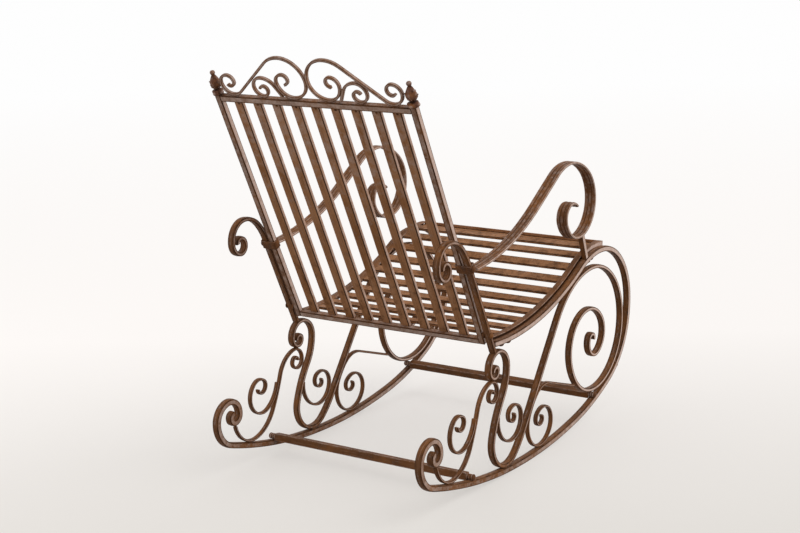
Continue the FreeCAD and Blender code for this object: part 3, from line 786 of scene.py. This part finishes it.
class CHAIR_OT_side_bars(ChairOperator, bpy.types.Operator):
    """Runner bars and leg bars of both side frames"""

    bl_idname = "chair.side_bars"
    bl_label = "Runner and leg bars"

    def execute(self, context):
        step, rounding, rise = self.amounts("station_step", "bar_round", "bar_ridge")
        runner_section = ridged_section(RUNNER_WIDTH, RUNNER_THICK, rise, rounding, graded(RUNNER_RUBBED_AND_PAINTED_LIGHT))
        leg_section = ridged_section(LEG_WIDTH, LEG_THICK, rise, rounding, graded(LEG_RUBBED_AND_PAINTED_LIGHT))
        runner = bend_stations(RUNNER_BENDS, RUNNER_START, step)
        leg = bend_stations(LEG_BENDS, LEG_START, step)
        for end, side in SIDES.items():
            self.bent("forged_runner_" + end, side_rings(side, runner), runner_section, "frame_bar",
                      "runner_bar_" + end)
            self.bent("forged_leg_" + end, side_rings(side, leg), leg_section, "frame_bar", "leg_bar_" + end)
        return {"FINISHED"}


class CHAIR_OT_thin_scrolls(ChairOperator, bpy.types.Operator):
    """Thin S- and C-scrolls inside the side frames"""

    bl_idname = "chair.thin_scrolls"
    bl_label = "Thin scrolls"

    def execute(self, context):
        step, rounding, rise = self.amounts("station_step", "strip_round", "scroll_ridge")
        section = ridged_section(SCROLL_WIDTH, SCROLL_THICK, rise, rounding, SCROLL_RUBBED_AND_LIT)
        for name, (forward, height, heading, bends) in THIN_SCROLLS.items():
            stations = bend_stations(bends, (forward, height, heading), step)
            for end, side in SIDES.items():
                node = f"{name}_{end}"
                self.bent("bent_" + node, side_rings(side, stations), section, "scroll_bar", node)
        return {"FINISHED"}


class CHAIR_OT_back_posts(ChairOperator, bpy.types.Operator):
    """Back posts with their rear curls, and the collars that tie them to the back"""

    bl_idname = "chair.back_posts"
    bl_label = "Back posts and collars"

    def execute(self, context):
        step, rounding = self.amounts("station_step", "bar_round")
        section = ridged_section(LEG_WIDTH, POST_THICK, self.amount("bar_ridge"), rounding, graded(POST_RUBBED_AND_PAINTED_LIGHT))
        foot = panel_point(0, POST_FOOT, POST_OUT)
        start = (ORIGIN_FORWARD - foot.y, foot.z, 90 + BACK_TILT)
        stations = bend_stations(POST_BENDS, start, step)
        for end, side in SIDES.items():
            self.bent("forged_back_post_" + end, side_rings(side, stations), section, "frame_bar",
                      "back_post_" + end)
            self.collar(end, side)
        return {"FINISHED"}

    def collar(self, end, side):
        """Band bent round the back post and the stile."""
        inner = STILE_HALF_SPACING - STILE_WIDTH / 2
        outer = SIDE_HALF_SPACING + LEG_WIDTH / 2
        bend = COLLAR_WALL * COLLAR_BEND
        long_run = outer - inner + COLLAR_WALL - 2 * bend
        short_run = PANEL_DEPTH + COLLAR_WALL - 2 * bend
        bends = [(long_run, 0), (bend, 90), (short_run, 0), (bend, 90)] * 2
        start = (inner - COLLAR_WALL / 2 + bend, -COLLAR_WALL / 2, 0)
        rings = []
        for across, out, heading, gone in bend_stations(bends, start, self.amount("station_step"))[:-1]:
            ahead = math.radians(heading)
            outward = ACROSS * (math.sin(ahead) * side) - PANEL_OUT * math.cos(ahead)
            centre = panel_point(across * side, COLLAR_FOOT + COLLAR_TALL / 2, out)
            rings.append((centre, PANEL_UP, outward, gone))
        rounding = self.amount("strip_round") * COLLAR_ROUND_SHARE
        section = plain_section("collar", COLLAR_TALL, COLLAR_WALL, rounding)
        name = "bent_collar_" + end
        finish_piece(name, sweep(name, rings, section, closed=True), "fastener", "collar_" + end)


class CHAIR_OT_arms(ChairOperator, bpy.types.Operator):
    """Reeded arms with their front scrolls, and the short posts under them"""

    bl_idname = "chair.arms"
    bl_label = "Arms and arm posts"

    def execute(self, context):
        step, rounding = self.amounts("station_step", "strip_round")
        stations = bend_stations(ARM_BENDS, ARM_START, step)
        section = reeded_section(rounding * ARM_ROUND_SHARE)
        post_section = plain_section("arm_post", ARM_POST_SIDE, ARM_POST_SIDE, rounding)
        forward, height, heading = runner_station(ARM_POST_STATION, RUNNER_THICK / 2)
        rise, over = side_directions(ARM_POST_HEADING)
        post_x = SIDE_HALF_SPACING + (RUNNER_WIDTH - ARM_POST_SIDE) / 2
        for end, side in SIDES.items():
            self.bent("reeded_arm_" + end, side_rings(side, stations), section, "frame_bar", "arm_" + end)
            foot = side_point(side * post_x, forward, height)
            rings = straight_rings(foot, foot + rise * ARM_POST_TALL, ACROSS, over, step)
            self.bent("square_arm_post_" + end, rings, post_section, "frame_bar", "arm_post_" + end)
        return {"FINISHED"}


# The outer faces of the seat rails carry painted shadow, dark beside the bearers, and are pale in front of
# the arm posts like the other narrow faces
RAIL_PALE_FROM = 455


class CHAIR_OT_seat(ChairOperator, bpy.types.Operator):
    """Angle rails, front rail and slats of the seat"""

    bl_idname = "chair.seat"
    bl_label = "Seat"

    def execute(self, context):
        step, rounding = self.amounts("station_step", "strip_round")
        start = runner_station(0, SEAT_RAIL_OVER)
        stations = bend_stations(SEAT_RAIL_BENDS, start, step)
        rail_out = -RUNNER_WIDTH / 2
        tall, flange, wall = SEAT_RAIL_TALL, SEAT_RAIL_FLANGE, SEAT_RAIL_WALL
        for end, side in SIDES.items():
            section = rounded_section([
                (0, 0, 0.3, self.outer_painted_shadow_and_light), (0, -tall, -0.5, -0.5), (-side * wall, -tall, -0.5, -0.5),
                (-side * wall, -wall, -1.0, -0.5), (-side * flange, -wall, 0.2, 0.2),
                (-side * flange, 0, 0.2, 0.0),
            ], rounding)
            self.bent("angle_seat_rail_" + end, side_rings(side, stations, rail_out), section, "frame_bar",
                      "seat_rail_" + end)
        half = SIDE_HALF_SPACING + rail_out - flange
        slat_section = plain_section("seat_slat", SEAT_SLAT_WIDTH, SEAT_SLAT_THICK, rounding)
        slat_over = -SEAT_SLAT_DROP - SEAT_SLAT_THICK / 2
        for number in range(SEAT_SLATS):
            place = bar_station(start, SEAT_RAIL_BENDS, SEAT_FIRST_SLAT + number * SEAT_SLAT_PITCH, slat_over)
            name = f"seat_slat_{number + 1}"
            self.bent("rolled_" + name, self.cross_rings(place, half, step), slat_section, "slat_strip", name)
        depth, tall, wall = FRONT_RAIL_DEPTH, FRONT_RAIL_TALL, FRONT_RAIL_WALL
        front_section = rounded_section([
            (0, 0, 0.3, 0.0), (-wall, 0, 0.2, -0.1), (-wall, wall - tall, -0.8, 0.0),
            (-depth, wall - tall, -0.3, -0.2), (-depth, -tall, -0.3, 0.0), (0, -tall, 0.3, 0.0),
        ], rounding)
        self.bent("rolled_seat_front_rail", self.cross_rings(stations[-1][:3], half, step), front_section,
                  "slat_strip", "seat_front_rail")
        return {"FINISHED"}

    # Painted shadow on the outer face beside the bearers; pale face in front of the arm posts
    @staticmethod
    def outer_painted_shadow_and_light(gone):
        return RUBBED_AND_LIT_FACE if gone > RAIL_PALE_FROM else -1.0

    @staticmethod
    def cross_rings(place, half, step):
        forward, height, heading = place
        ahead, rising = side_directions(heading)
        ends = [side_point(x, forward, height) for x in (-half, half)]
        return straight_rings(ends[0], ends[1], ahead, rising, step * STRAIGHT_STEPS)


class CHAIR_OT_back_panel(ChairOperator, bpy.types.Operator):
    """Stiles, rails and slats of the leaning back"""

    bl_idname = "chair.back_panel"
    bl_label = "Back panel"

    def execute(self, context):
        step, middle = self.amount("station_step") * STRAIGHT_STEPS, PANEL_DEPTH / 2
        strip_round, bar_round = self.amounts("strip_round", "bar_round")
        stile_section = plain_section("back_stile", STILE_WIDTH, PANEL_DEPTH, bar_round)
        for end, side in SIDES.items():
            ends = [panel_point(side * STILE_HALF_SPACING, up, middle) for up in (STILE_FOOT, STILE_HEAD)]
            rings = straight_rings(ends[0], ends[1], ACROSS, PANEL_OUT, step)
            self.bent("square_back_stile_" + end, rings, stile_section, "frame_bar", "back_stile_" + end)
        inner = STILE_HALF_SPACING - STILE_WIDTH / 2
        rail_section = plain_section("back_rail", PANEL_DEPTH, RAIL_TALL, bar_round)
        for name, up in (
            ("back_bottom_rail", STILE_FOOT + RAIL_TALL / 2),
            ("back_top_rail", STILE_HEAD - RAIL_TALL / 2),
        ):
            ends = [panel_point(across, up, middle) for across in (-inner, inner)]
            rings = straight_rings(ends[0], ends[1], PANEL_OUT, PANEL_UP, step)
            self.bent("square_" + name, rings, rail_section, "frame_bar", name)
        slat_section = lined_section(
            BACK_SLAT_WIDTH, BACK_SLAT_THICK, strip_round, SLAT_NARROW_RUBBED_AND_LIT, graded(BACK_SLAT_TONE_ALONG))
        slat_out = PANEL_DEPTH - BACK_SLAT_THICK / 2
        slat_ends = (STILE_FOOT + RAIL_TALL, STILE_HEAD - RAIL_TALL)
        for number in range(BACK_SLATS):
            across = BACK_SLAT_PITCH * (number - (BACK_SLATS - 1) / 2)
            ends = [panel_point(across, up, slat_out) for up in slat_ends]
            rings = straight_rings(ends[0], ends[1], ACROSS, PANEL_OUT, step)
            name = f"back_slat_{number + 1}"
            self.bent("rolled_" + name, rings, slat_section, "slat_strip", name)
        return {"FINISHED"}


class CHAIR_OT_crest(ChairOperator, bpy.types.Operator):
    """Large and small crest scrolls over the top rail"""

    bl_idname = "chair.crest"
    bl_label = "Crest scrolls"

    def execute(self, context):
        section = plain_section("crest", CREST_DEPTH, CREST_THICK, self.amount("strip_round"))
        step = self.amount("station_step")
        for name, start, bends in (
            ("crest_scroll", CREST_START, CREST_BENDS),
            ("crest_small_scroll", SMALL_CREST_START, SMALL_CREST_BENDS),
        ):
            stations = bend_stations(bends, start, step)
            for end, side in SIDES.items():
                node = f"{name}_{end}"
                self.bent("bent_" + node, crest_rings(side, stations), section, "scroll_bar", node)
        return {"FINISHED"}


# Finial from foot to tip: share of its height, radius in millimetres, how far its lobes stand out, wear
FINIAL_PROFILE = [
    (0.0, 8.5, 0.05, -0.6), (0.02, 10.4, 0.08, -0.3), (0.06, 12.4, 0.14, 0.0), (0.1, 13.0, 0.16, 0.2),
    (0.14, 12.6, 0.16, 0.2), (0.18, 10.6, 0.12, 0.0), (0.21, 7.6, 0.06, -0.5), (0.24, 5.6, 0.0, -0.8),
    (0.265, 5.2, 0.0, -0.8), (0.29, 6.4, 0.03, -0.5), (0.33, 9.0, 0.06, -0.2), (0.38, 11.4, 0.09, 0.0),
    (0.43, 12.6, 0.1, 0.1), (0.48, 12.6, 0.11, 0.1), (0.54, 11.6, 0.12, 0.1), (0.6, 10.2, 0.12, 0.0),
    (0.66, 8.6, 0.11, 0.0), (0.72, 7.0, 0.09, 0.0), (0.77, 5.4, 0.06, -0.1), (0.8, 4.3, 0.03, -0.4),
    (0.825, 3.8, 0.0, -0.6), (0.85, 4.6, 0.0, -0.2), (0.88, 5.4, 0.0, 0.1), (0.915, 5.7, 0.0, 0.2),
    (0.95, 5.2, 0.0, 0.3), (0.98, 3.6, 0.0, 0.3), (0.995, 1.6, 0.0, 0.3),
]
FINIAL_LOBES = 4
FINIAL_SEGMENTS = 48
LEAF_FOOT = 0.29
LEAF_START_RADIUS = 6.2
LEAF_HEADING = 30
LEAF_BENDS = [(14, 48), (4, -70)]
LEAF_WIDTH = 10
LEAF_THICK = 2.8
LEAF_ROUND = 0.4
LEAF_STEP = 1.0


class CHAIR_OT_finials(ChairOperator, bpy.types.Operator):
    """Cast finials on the stiles: lobed foot, bud with curled leaves, and a ball tip"""

    bl_idname = "chair.finials"
    bl_label = "Finials"

    def execute(self, context):
        lean = math.radians(BACK_TILT - FINIAL_LEAN)
        axis = Vector((0, math.sin(lean), math.cos(lean)))
        front = Vector((0, -math.cos(lean), math.sin(lean)))
        profile = [(share * FINIAL_TALL, *rest) for share, *rest in FINIAL_PROFILE]
        for end, side in SIDES.items():
            base = panel_point(side * STILE_HALF_SPACING, STILE_HEAD, PANEL_DEPTH / 2)
            meshes = [lathe("bud", profile, base, axis, ACROSS, front, FINIAL_SEGMENTS, FINIAL_LOBES)]
            leaves = context.scene.chair_sizes.finial_leaves
            for number in range(leaves):
                meshes.append(self.leaf(base, axis, front, 2 * math.pi * number / leaves))
            finish_piece("cast_finial_" + end, joined("cast_finial_" + end, meshes), "finial_casting",
                         "finial_" + end)
        return {"FINISHED"}

    def leaf(self, base, axis, front, angle):
        """Leaf that lies on the bud and curls away at its tip."""
        outward = ACROSS * math.cos(angle) + front * math.sin(angle)
        across = axis.cross(outward)
        start = (LEAF_START_RADIUS, LEAF_FOOT * FINIAL_TALL, LEAF_HEADING)
        rings = []
        for reach, height, heading, gone in bend_stations(LEAF_BENDS, start, LEAF_STEP):
            ahead = math.radians(heading)
            rising = axis * math.cos(ahead) - outward * math.sin(ahead)
            rings.append((base + outward * reach + axis * height, across, rising, gone))
        half = LEAF_WIDTH / 2
        section = rounded_section([
            (-half, -0.2, 0.4, 0.0), (0, -LEAF_THICK / 2, 0.2, 0.0), (half, -0.2, 0.4, 0.2),
            (half, 0.4, 0.4, 0.0), (0, LEAF_THICK / 2, 0.3, 0.0), (-half, 0.4, 0.4, 0.2),
        ], LEAF_ROUND)
        return sweep("leaf", rings, section, swell=self.leaf_outline)

    @staticmethod
    def leaf_outline(share):
        """Width and thickness along a leaf: narrow foot, full middle, small tip."""
        wide = 0.55 + 0.45 * math.sin(math.pi * min(1.0, 0.18 + share * 0.95))
        return wide - 0.2 * share, 1.0


# Ridged sleeve from its end to its middle: share of its length, radius share, wear
SLEEVE_HALF = [
    (0.00, 0.80, -0.5), (0.02, 0.94, 0.4), (0.06, 1.00, 0.6), (0.20, 1.00, 0.2), (0.25, 0.98, 0.3),
    (0.29, 0.84, -0.8), (0.33, 0.84, -0.8), (0.37, 0.98, 0.3), (0.42, 1.00, 0.3),
]
SLEEVE_PROFILE = SLEEVE_HALF + [(1 - share, radius, worn) for share, radius, worn in reversed(SLEEVE_HALF)]
SLEEVE_SEGMENTS = 32


class CHAIR_OT_stretchers(ChairOperator, bpy.types.Operator):
    """Square stretchers between the runners, with ridged sleeves at their ends"""

    bl_idname = "chair.stretchers"
    bl_label = "Stretchers"

    def execute(self, context):
        section = plain_section("stretcher", STRETCHER_SIDE, STRETCHER_SIDE, self.amount("bar_round"))
        step = self.amount("station_step") * STRAIGHT_STEPS
        half = SIDE_HALF_SPACING - RUNNER_WIDTH / 2
        profile = [
            (share * RUNNER_WIDTH, radius * SLEEVE_RADIUS, 0.0, worn)
            for share, radius, worn in SLEEVE_PROFILE
        ]
        sleeves = []
        for name, distance in STRETCHER_STATIONS.items():
            forward, height, heading = runner_station(distance, -(RUNNER_THICK / 2 + SLEEVE_RADIUS))
            ahead, rising = side_directions(heading)
            ends = [side_point(x, forward, height) for x in (-half, half)]
            rings = straight_rings(ends[0], ends[1], ahead, rising, step)
            self.bent("square_" + name, rings, section, "frame_bar", name)
            for side in SIDES.values():
                base = side_point(side * half, forward, height)
                sleeves.append(lathe("sleeve", profile, base, ACROSS * side, ahead, rising, SLEEVE_SEGMENTS))
        finish_piece("ridged_sleeves", joined("ridged_sleeves", sleeves), "frame_bar", "stretcher_sleeves")
        return {"FINISHED"}


# Where bars of a side frame meet: the widest gap that a weld closes and the step of the search,
# in millimetres, and over how many steps either way a place is the nearest one
WELD_GAP = 2.0
SEARCH_STEP = 2
SEARCH_REACH = 6


def side_bars():
    """Bars of a side frame: stations along the middle, thickness and width."""
    for *start, bends in THIN_SCROLLS.values():
        yield bend_stations(bends, start, SEARCH_STEP), SCROLL_THICK, SCROLL_WIDTH
    yield bend_stations(RUNNER_BENDS, RUNNER_START, SEARCH_STEP), RUNNER_THICK, RUNNER_WIDTH
    yield bend_stations(LEG_BENDS, LEG_START, SEARCH_STEP), LEG_THICK, LEG_WIDTH


def nearest_stations(stations, others):
    """The station of another bar that is nearest to each station of a bar."""
    tree = kdtree.KDTree(len(others))
    for number, (forward, height, heading, gone) in enumerate(others):
        tree.insert((forward, height, 0), number)
    tree.balance()
    return [others[tree.find((forward, height, 0))[1]] for forward, height, heading, gone in stations]


def weld_places():
    """Welds in a side frame: forward, height, direction of the seam, width of the narrower bar."""
    places = []
    for first, second in itertools.combinations(side_bars(), 2):
        (stations, thick, width), (others, other_thick, other_width) = first, second
        nearest = nearest_stations(stations, others)
        spans = [math.dist(here[:2], there[:2]) for here, there in zip(stations, nearest)]
        for number, span in enumerate(spans):
            around = spans[max(0, number - SEARCH_REACH):number + SEARCH_REACH + 1]
            if span == min(around) and span < (thick + other_thick) / 2 + WELD_GAP:
                here, there = Vector(stations[number][:2]), Vector(nearest[number][:2])
                seam = here.lerp(there, thick / (thick + other_thick))
                places.append((seam.x, seam.y, stations[number][2], min(width, other_width)))
    return places


# Weld beads, in millimetres: length of a ripple, distance from the seam, step along a bead and its wave;
# and the points round a bead and its wear
WELD_RIPPLE = 1.6
WELD_OFFSET = 2.4
WELD_STEP = 0.5
WELD_WAVE = 0.6
WELD_POINTS = 12
WELD_WEAR = 0.1


class CHAIR_OT_welds(ChairOperator, bpy.types.Operator):
    """Rippled weld beads where bars meet in the side frames"""

    bl_idname = "chair.welds"
    bl_label = "Weld beads"

    def execute(self, context):
        radius, places = self.amount("weld_radius"), weld_places()
        section = [
            (radius * math.cos(turn), radius * math.sin(turn), WELD_WEAR)
            for turn in (2 * math.pi * number / WELD_POINTS for number in range(WELD_POINTS))
        ]
        for end, side in SIDES.items():
            beads = []
            for number, (forward, height, heading, width) in enumerate(places):
                ahead, rising = side_directions(heading)
                for shift in (-WELD_OFFSET, WELD_OFFSET):
                    middle = side_point(side * SIDE_HALF_SPACING, forward, height) + ahead * shift
                    reach = ACROSS * (width / 2 - radius * 0.5)
                    rings = straight_rings(middle - reach, middle + reach, ahead, rising, WELD_STEP)
                    seed, swell = number + shift, self.ripple(width)
                    beads.append(sweep("bead", rings, section, seed, WELD_WAVE, swell=swell))
            finish_piece("weld_beads_" + end, joined("weld_beads_" + end, beads), "frame_bar")
        return {"FINISHED"}

    @staticmethod
    def ripple(width):
        def swell(share):
            full = math.sin(math.pi * (0.12 + 0.76 * share)) ** 0.5
            return full * (0.92 + 0.12 * math.sin(share * width / WELD_RIPPLE * 2 * math.pi)), full
        return swell


class CHAIR_OT_fasteners(ChairOperator, bpy.types.Operator):
    """Enamel on the bolts, rivets and spacers, whose shape the frame already has"""

    bl_idname = "chair.fasteners"
    bl_label = "Fasteners"

    def execute(self, context):
        for name in ("stretcher_bolts", "frame_bolts", "seat_bolts", "slat_rivets", "spacers"):
            slots = frame["nodes"][name].material_slots
            for number in range(len(slots)):
                slots[number].material = finish_for("fastener")
        return {"FINISHED"}


# Camera of the studio view: place in metres, and its right, up and looking directions
CAMERA_PLACE = (-1.9514, 3.0728, 1.2593)
CAMERA_RIGHT = (-0.8352, -0.5496, -0.0192)
CAMERA_UP = (0.1082, -0.1985, 0.9741)
CAMERA_LOOK = (0.5392, -0.8115, -0.2253)
CAMERA_LENS = 72.53
CAMERA_SENSOR = 36.0

# Lamps: the key's direction, strength and softness in degrees, and a soft box's place and aim in metres,
# power and side
KEY_LAMP = ((-1.0, -0.30, 0.75), 1.6, 60)
SOFT_BOX = ((1.7, 1.4, 0.9), (0.0, 0.2, 0.5), 7.0, 1.2)
WORLD_STRENGTH = 0.68
# Share of the floor's brightness that the lamps give; the rest is studio white, with no shadow in it
FLOOR_LIT = 0.42
# Floor shades: the level direction out of the picture, and where along it each shade is reached, in metres
FLOOR_DIRECTION = (-0.553, 0.833, 0.0)
FLOOR_NEAR_AT = 0.6
FLOOR_FAR_AT = -0.9
FLOOR_EDGE_AT = -7.0
# Share of a ray that shows the studio white: seen by the camera, in gloss or through a clear piece
SEEN_ROWS = [
    ("ray", "ShaderNodeLightPath", {}, {}),
    ("seen", "ShaderNodeMath", {"operation": "MAXIMUM"},
     {0: ("ray", "Is Camera Ray"), 1: ("ray", "Is Glossy Ray")}),
    ("seen_through", "ShaderNodeMath", {"operation": "MAXIMUM"},
     {0: ("seen", 0), 1: ("ray", "Is Transmission Ray")}),
]


class CHAIR_OT_stage(ChairOperator, bpy.types.Operator):
    """Pale floor, soft light and camera"""

    bl_idname = "chair.stage"
    bl_label = "Stage"

    def execute(self, context):
        scene = context.scene
        scene.view_settings.view_transform = "Standard"
        self.floor(scene)
        self.world(scene)
        source, strength, softness = KEY_LAMP
        key = self.lamp(scene, "key", "SUN", Vector(source), strength)
        key.data.angle = math.radians(softness)
        place, aim, power, side = SOFT_BOX
        box = self.lamp(scene, "soft_box", "AREA", Vector(place) - Vector(aim), power)
        box.location = place
        box.data.size = side
        box.visible_camera = False
        camera = bpy.data.cameras.new("studio_camera")
        camera.sensor_fit = "HORIZONTAL"
        camera.sensor_width = CAMERA_SENSOR
        camera.lens = CAMERA_LENS
        holder = bpy.data.objects.new("studio_camera", camera)
        axes = Matrix((CAMERA_RIGHT, CAMERA_UP, -Vector(CAMERA_LOOK))).transposed()
        holder.matrix_world = Matrix.Translation(CAMERA_PLACE) @ axes.to_4x4()
        scene.collection.objects.link(holder)
        scene.camera = holder
        return {"FINISHED"}

    @staticmethod
    def lamp(scene, name, kind, towards, strength):
        """Lamp turned so that its light comes from a direction."""
        light = bpy.data.lights.new(name, kind)
        light.energy = strength
        holder = bpy.data.objects.new(name, light)
        holder.rotation_euler = towards.to_track_quat("Z", "Y").to_euler()
        scene.collection.objects.link(holder)
        return holder

    def floor(self, scene):
        """Matt paper floor: it only takes the soft shadow, and is painted warmer grey on the camera's side, a
        painted shade.
        """
        half = scene.chair_sizes.floor_side / 2
        mesh = bpy.data.meshes.new("floor")
        corners = [(-half, -half, 0), (half, -half, 0), (half, half, 0), (-half, half, 0)]
        mesh.from_pydata(corners, [], [(0, 1, 2, 3)])
        colours = scene.chair_colours
        near, far, edge = tuple(colours.floor_near_painted_shade), tuple(colours.floor_far), tuple(colours.floor_edge)
        material = new_surface(bpy.data.materials.new("matt_studio_paper"), [
            ("place", "ShaderNodeTexCoord", {}, {}),
            ("out_of_picture", "ShaderNodeVectorMath", {"operation": "DOT_PRODUCT", 1: FLOOR_DIRECTION},
             {0: ("place", "Object")}),
            ("near_share", "ShaderNodeMapRange", {"From Min": FLOOR_FAR_AT, "From Max": FLOOR_NEAR_AT},
             {"Value": ("out_of_picture", "Value")}),
            ("edge_share", "ShaderNodeMapRange", {"From Min": FLOOR_FAR_AT, "From Max": FLOOR_EDGE_AT},
             {"Value": ("out_of_picture", "Value")}),
            ("near_shade", "ShaderNodeMix", {"data_type": "RGBA", 6: far, 7: near},
             {0: ("near_share", "Result")}),
            ("shade", "ShaderNodeMix", {"data_type": "RGBA", 7: edge},
             {0: ("edge_share", "Result"), 6: ("near_shade", 2)}),
            ("lit_shade", "ShaderNodeMix", {"data_type": "RGBA", 0: FLOOR_LIT, 6: (0, 0, 0, 1)},
             {7: ("shade", 2)}),
            ("lit", "ShaderNodeBsdfDiffuse", {}, {"Color": ("lit_shade", 2)}),
            *SEEN_ROWS,
            ("white_share", "ShaderNodeMath", {"operation": "MULTIPLY", 1: 1 - FLOOR_LIT},
             {0: ("seen_through", 0)}),
            ("white", "ShaderNodeEmission", {}, {"Color": ("shade", 2), "Strength": ("white_share", 0)}),
            ("shader", "ShaderNodeAddShader", {}, {0: ("lit", "BSDF"), 1: ("white", "Emission")}),
            ("out", "ShaderNodeOutputMaterial", {}, {"Surface": ("shader", "Shader")}),
        ])
        mesh.materials.append(material)
        floor = bpy.data.objects.new("floor", mesh)
        scene.collection.objects.link(floor)
        floor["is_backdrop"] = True

    def world(self, scene):
        """Even white surroundings, seen as white by the camera and in gloss."""
        world = new_surface(bpy.data.worlds.new("studio"), [
            *SEEN_ROWS,
            ("strength", "ShaderNodeMapRange", {"To Min": WORLD_STRENGTH, "To Max": 1.0},
             {"Value": ("seen_through", 0)}),
            ("shader", "ShaderNodeBackground", {"Color": (1, 1, 1, 1)}, {"Strength": ("strength", "Result")}),
            ("out", "ShaderNodeOutputWorld", {}, {"Surface": ("shader", "Background")}),
        ])
        scene.world = world


OPERATORS = (
    CHAIR_OT_side_bars, CHAIR_OT_thin_scrolls, CHAIR_OT_back_posts, CHAIR_OT_arms, CHAIR_OT_seat,
    CHAIR_OT_back_panel, CHAIR_OT_crest, CHAIR_OT_finials, CHAIR_OT_stretchers, CHAIR_OT_welds,
    CHAIR_OT_fasteners, CHAIR_OT_stage,
)


class CHAIR_PT_panel(bpy.types.Panel):
    """Sidebar list of the chair's pieces"""

    bl_idname = "CHAIR_PT_panel"
    bl_label = "Rocking chair"
    bl_space_type = "VIEW_3D"
    bl_region_type = "UI"
    bl_category = "Chair"

    def draw(self, context):
        column = self.layout.column()
        for group in (context.scene.chair_sizes, context.scene.chair_colours):
            for name in group.__annotations__:
                column.prop(group, name)
        for operator in OPERATORS:
            column.operator(operator.bl_idname)


CLASSES = (ChairSizes, ChairColours, *OPERATORS, CHAIR_PT_panel)


def register():
    for item in CLASSES:
        bpy.utils.register_class(item)
    bpy.types.Scene.chair_sizes = PointerProperty(type=ChairSizes)
    bpy.types.Scene.chair_colours = PointerProperty(type=ChairColours)


def unregister():
    del bpy.types.Scene.chair_colours
    del bpy.types.Scene.chair_sizes
    for item in reversed(CLASSES):
        bpy.utils.unregister_class(item)


def main():
    register()
    for operator in OPERATORS:
        group, name = operator.bl_idname.split(".")
        getattr(getattr(bpy.ops, group), name)()
    boxes = {"cad": CAD_BOX, "visual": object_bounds()}
    {name: [list(corner) for corner in box] for name, box in boxes.items()}


if __name__ == "__main__":
    main()
